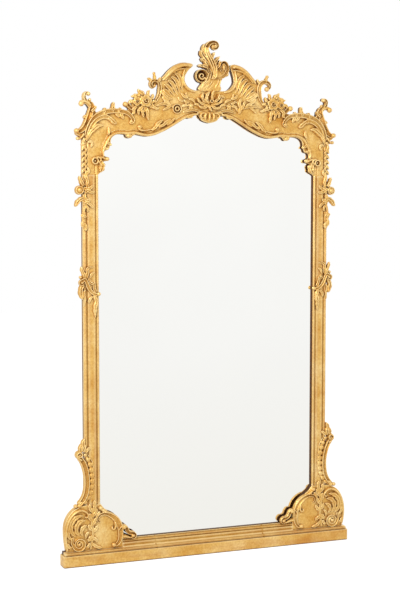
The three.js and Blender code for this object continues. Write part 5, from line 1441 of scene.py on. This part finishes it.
def stage():
    scene = bpy.context.scene
    scene.view_settings.view_transform = "Standard"
    floor_mesh = bpy.data.meshes.new("floor")
    bm = bmesh.new()
    bmesh.ops.create_grid(bm, x_segments=1, y_segments=1, size=FLOOR)
    bm.to_mesh(floor_mesh)
    bm.free()
    floor = bpy.data.objects.new("floor", floor_mesh)
    scene.collection.objects.link(floor)
    white_paper()
    floor.data.materials.append(bpy.data.materials["paper"])

    world = bpy.data.worlds.new("studio")
    scene.world = world
    world.use_nodes = True
    tree = world.node_tree
    tree.nodes.clear()
    rays = node(tree, "ShaderNodeLightPath")
    seen = node(tree, "ShaderNodeMath", {"operation": "MAXIMUM"}, i0=rays.outputs["Is Camera Ray"],
                i1=rays.outputs["Is Glossy Ray"])
    seen = node(tree, "ShaderNodeMath", {"operation": "MAXIMUM"}, i0=seen.outputs[0],
                i1=rays.outputs["Is Transmission Ray"])
    strength = node(tree, "ShaderNodeMapRange", {"To Min": SKY, "To Max": 1.0}, Value=seen.outputs[0])
    background = node(tree, "ShaderNodeBackground", {"Color": (1, 1, 1, 1)}, Strength=strength.outputs[0])
    node(tree, "ShaderNodeOutputWorld", Surface=background.outputs[0])

    for settings in LAMPS:
        lamp(*settings)

    camera = bpy.data.objects.new("camera", bpy.data.cameras.new("camera"))
    scene.collection.objects.link(camera)
    camera.location = CAMERA
    camera.rotation_euler = (math.radians(90 - CAMERA_PITCH), 0, math.radians(-CAMERA_YAW))
    camera.data.lens = LENS
    scene.camera = camera


def lamp(name, place, aim, size, power):
    light = bpy.data.lights.new(name, "AREA")
    light.size = size
    light.energy = power
    made = bpy.data.objects.new(name, light)
    bpy.context.scene.collection.objects.link(made)
    made.location = place
    made.rotation_euler = (Vector(aim) - Vector(place)).to_track_quat("-Z", "Y").to_euler()


def white_paper():
    """The studio's paper floor: white to the lens, and it keeps the mirror's shadow."""
    tree, shader = new_material("paper")
    plug(tree, shader, {"Base Color": (0.86, 0.86, 0.86, 1), "Roughness": 0.9})
    rays = node(tree, "ShaderNodeLightPath")
    shaded = node(tree, "ShaderNodeBsdfDiffuse", {"Color": (0.4, 0.4, 0.4, 1)})
    glow = node(tree, "ShaderNodeEmission", {"Strength": 0.8})
    seen = node(tree, "ShaderNodeAddShader", i0=shaded.outputs[0], i1=glow.outputs[0])
    mixed = node(tree, "ShaderNodeMixShader", i0=rays.outputs["Is Camera Ray"], i1=shader.outputs[0],
                 i2=seen.outputs[0])
    white = node(tree, "ShaderNodeEmission", {"Strength": 1.0})
    mixed = node(tree, "ShaderNodeMixShader", i0=rays.outputs["Is Glossy Ray"], i1=mixed.outputs[0],
                 i2=white.outputs[0])
    plug(tree, tree.nodes["Material Output"], {"Surface": mixed.outputs[0]})


# ---------- add-on ----------
def colour_text(name, description, default):
    return bpy.props.StringProperty(name=name, description=description, default=default)


def length(name, description, default):
    return bpy.props.FloatProperty(name=name, description=description, default=default, min=0,
                                   unit="LENGTH", subtype="DISTANCE")


class PierSizes(bpy.types.PropertyGroup):
    """Sizes of the finish. The frame's own sizes come from its parts."""

    skin: length("Carving skin", "Grain of the skin over carved pieces", 0.0016)
    board_skin: length("Board skin", "Grain of the skin over sawn boards", 0.0022)
    bead: length("Bead", "Radius of the bead on the outer edge of a pilaster", 0.0065)
    quirk: length("Quirk", "Depth of the grooves of a pilaster", 0.0033)
    corner: length("Plinth corner", "Radius of the plinth's upright corners", 0.009)


class PierColours(bpy.types.PropertyGroup):
    """Colours of the gilding, as sRGB hex."""

    leaf: colour_text("Leaf", "The gold leaf itself", "#ebbf6c")
    bright: colour_text("Bright leaf", "Leaf that was left untoned", "#f9d891")
    toned: colour_text("Toned leaf", "Leaf under a darker coat of size", "#dda64e")
    clay: colour_text("Clay", "Red clay where the leaf is rubbed", "#c07840")
    # painted shade in the cuts, together with the toning there
    recess: colour_text("Recess", "Toning that lies in the cuts", "#7e4408")
    # painted shade at the bottom of the sharpest cuts
    crease: colour_text("Crease", "The bottom of the sharpest cuts", "#5e3004")
    # high edges: burnishing and a painted highlight
    burnished: colour_text("Burnished", "High edges", "#ffeab2")
    # paint on the back, and paint with painted shade on the inner sawn edges
    umber: colour_text("Umber", "Paint on the sawn edges", "#54300c")


class PIER_OT_materials(bpy.types.Operator):
    """Makes the gilding, glass, pine and metals"""

    bl_idname = "pier.materials"
    bl_label = "Materials"

    def execute(self, context):
        make_materials()
        return {"FINISHED"}


class PIER_OT_joinery(bpy.types.Operator):
    """Adds the plinth, rails and pilasters"""

    bl_idname = "pier.joinery"
    bl_label = "Plinth and mouldings"

    def execute(self, context):
        plinth_block()
        plain_mouldings()
        return {"FINISHED"}


class PIER_OT_boards(bpy.types.Operator):
    """Saws the base, corner and crest boards"""

    bl_idname = "pier.boards"
    bl_label = "Sawn boards"

    def execute(self, context):
        base_boards()
        corner_boards()
        crest_board()
        return {"FINISHED"}


class PIER_OT_crest(bpy.types.Operator):
    """Carves the crest"""

    bl_idname = "pier.crest"
    bl_label = "Crest carving"

    def execute(self, context):
        for (word, side), tip in zip(SIDES, (80, 102)):
            wing_carving(word, side, tip)
            shoulder_volute(word, side)
            garland(word, side)
        plume()
        bouquet()
        centre_lip()
        rosette_left()
        leaf_cluster_right()
        return {"FINISHED"}


class PIER_OT_corners(bpy.types.Operator):
    """Carves the corners"""

    bl_idname = "pier.corners"
    bl_label = "Corner carving"

    def execute(self, context):
        for word, side in SIDES:
            flower_spray(word, side)
            ear_scroll(word, side)
            corner_acanthus(word, side)
            sight_lip(word, side)
            sight_drop(word, side)
        return {"FINISHED"}


class PIER_OT_stiles(bpy.types.Operator):
    """Carves the ornaments of the stiles"""

    bl_idname = "pier.stiles"
    bl_label = "Stile carving"

    def execute(self, context):
        for word, side in SIDES:
            flower_drop(word, side)
            middle_ornament(word, side)
            side_bracket(word, side)
        return {"FINISHED"}


class PIER_OT_base(bpy.types.Operator):
    """Carves the base cartouches"""

    bl_idname = "pier.base"
    bl_label = "Base carving"

    def execute(self, context):
        for word, side in SIDES:
            base_outer_scroll(word, side)
            base_inner_scroll(word, side)
            base_leaves(word, side)
        return {"FINISHED"}


class PIER_OT_plate_and_back(bpy.types.Operator):
    """Finishes the plate, the back and the hangers"""

    bl_idname = "pier.plate_and_back"
    bl_label = "Plate, back and hangers"

    def execute(self, context):
        dress_cad_nodes()
        return {"FINISHED"}


class PIER_OT_stage(bpy.types.Operator):
    """Sets the floor, the lamps and the camera"""

    bl_idname = "pier.stage"
    bl_label = "Stage"

    def execute(self, context):
        stage()
        return {"FINISHED"}


class PIER_PT_panel(bpy.types.Panel):
    """The mirror's pieces, in the order they are made"""

    bl_label = "Pier mirror"
    bl_space_type = "VIEW_3D"
    bl_region_type = "UI"
    bl_category = "Pier mirror"

    def draw(self, context):
        column = self.layout.column()
        for operator in OPERATORS:
            column.operator(operator.bl_idname)


OPERATORS = (
    PIER_OT_stage, PIER_OT_materials, PIER_OT_joinery, PIER_OT_boards, PIER_OT_crest, PIER_OT_corners,
    PIER_OT_stiles, PIER_OT_base, PIER_OT_plate_and_back,
)
CLASSES = (PierSizes, PierColours, *OPERATORS, PIER_PT_panel)


def register():
    for cls in CLASSES:
        bpy.utils.register_class(cls)
    bpy.types.Scene.pier_sizes = bpy.props.PointerProperty(type=PierSizes)
    bpy.types.Scene.pier_colours = bpy.props.PointerProperty(type=PierColours)


def unregister():
    del bpy.types.Scene.pier_colours
    del bpy.types.Scene.pier_sizes
    for cls in reversed(CLASSES):
        bpy.utils.unregister_class(cls)


def main():
    register()
    for operator in OPERATORS:
        space, name = operator.bl_idname.split(".")
        getattr(getattr(bpy.ops, space), name)()
    cutters = ("plate pocket", "backboard pocket", "groove")
    for name in [item.name for item in bpy.data.objects if item.name.startswith(cutters)]:
        bpy.data.objects.remove(bpy.data.objects[name])


if __name__ == "__main__":
    main()
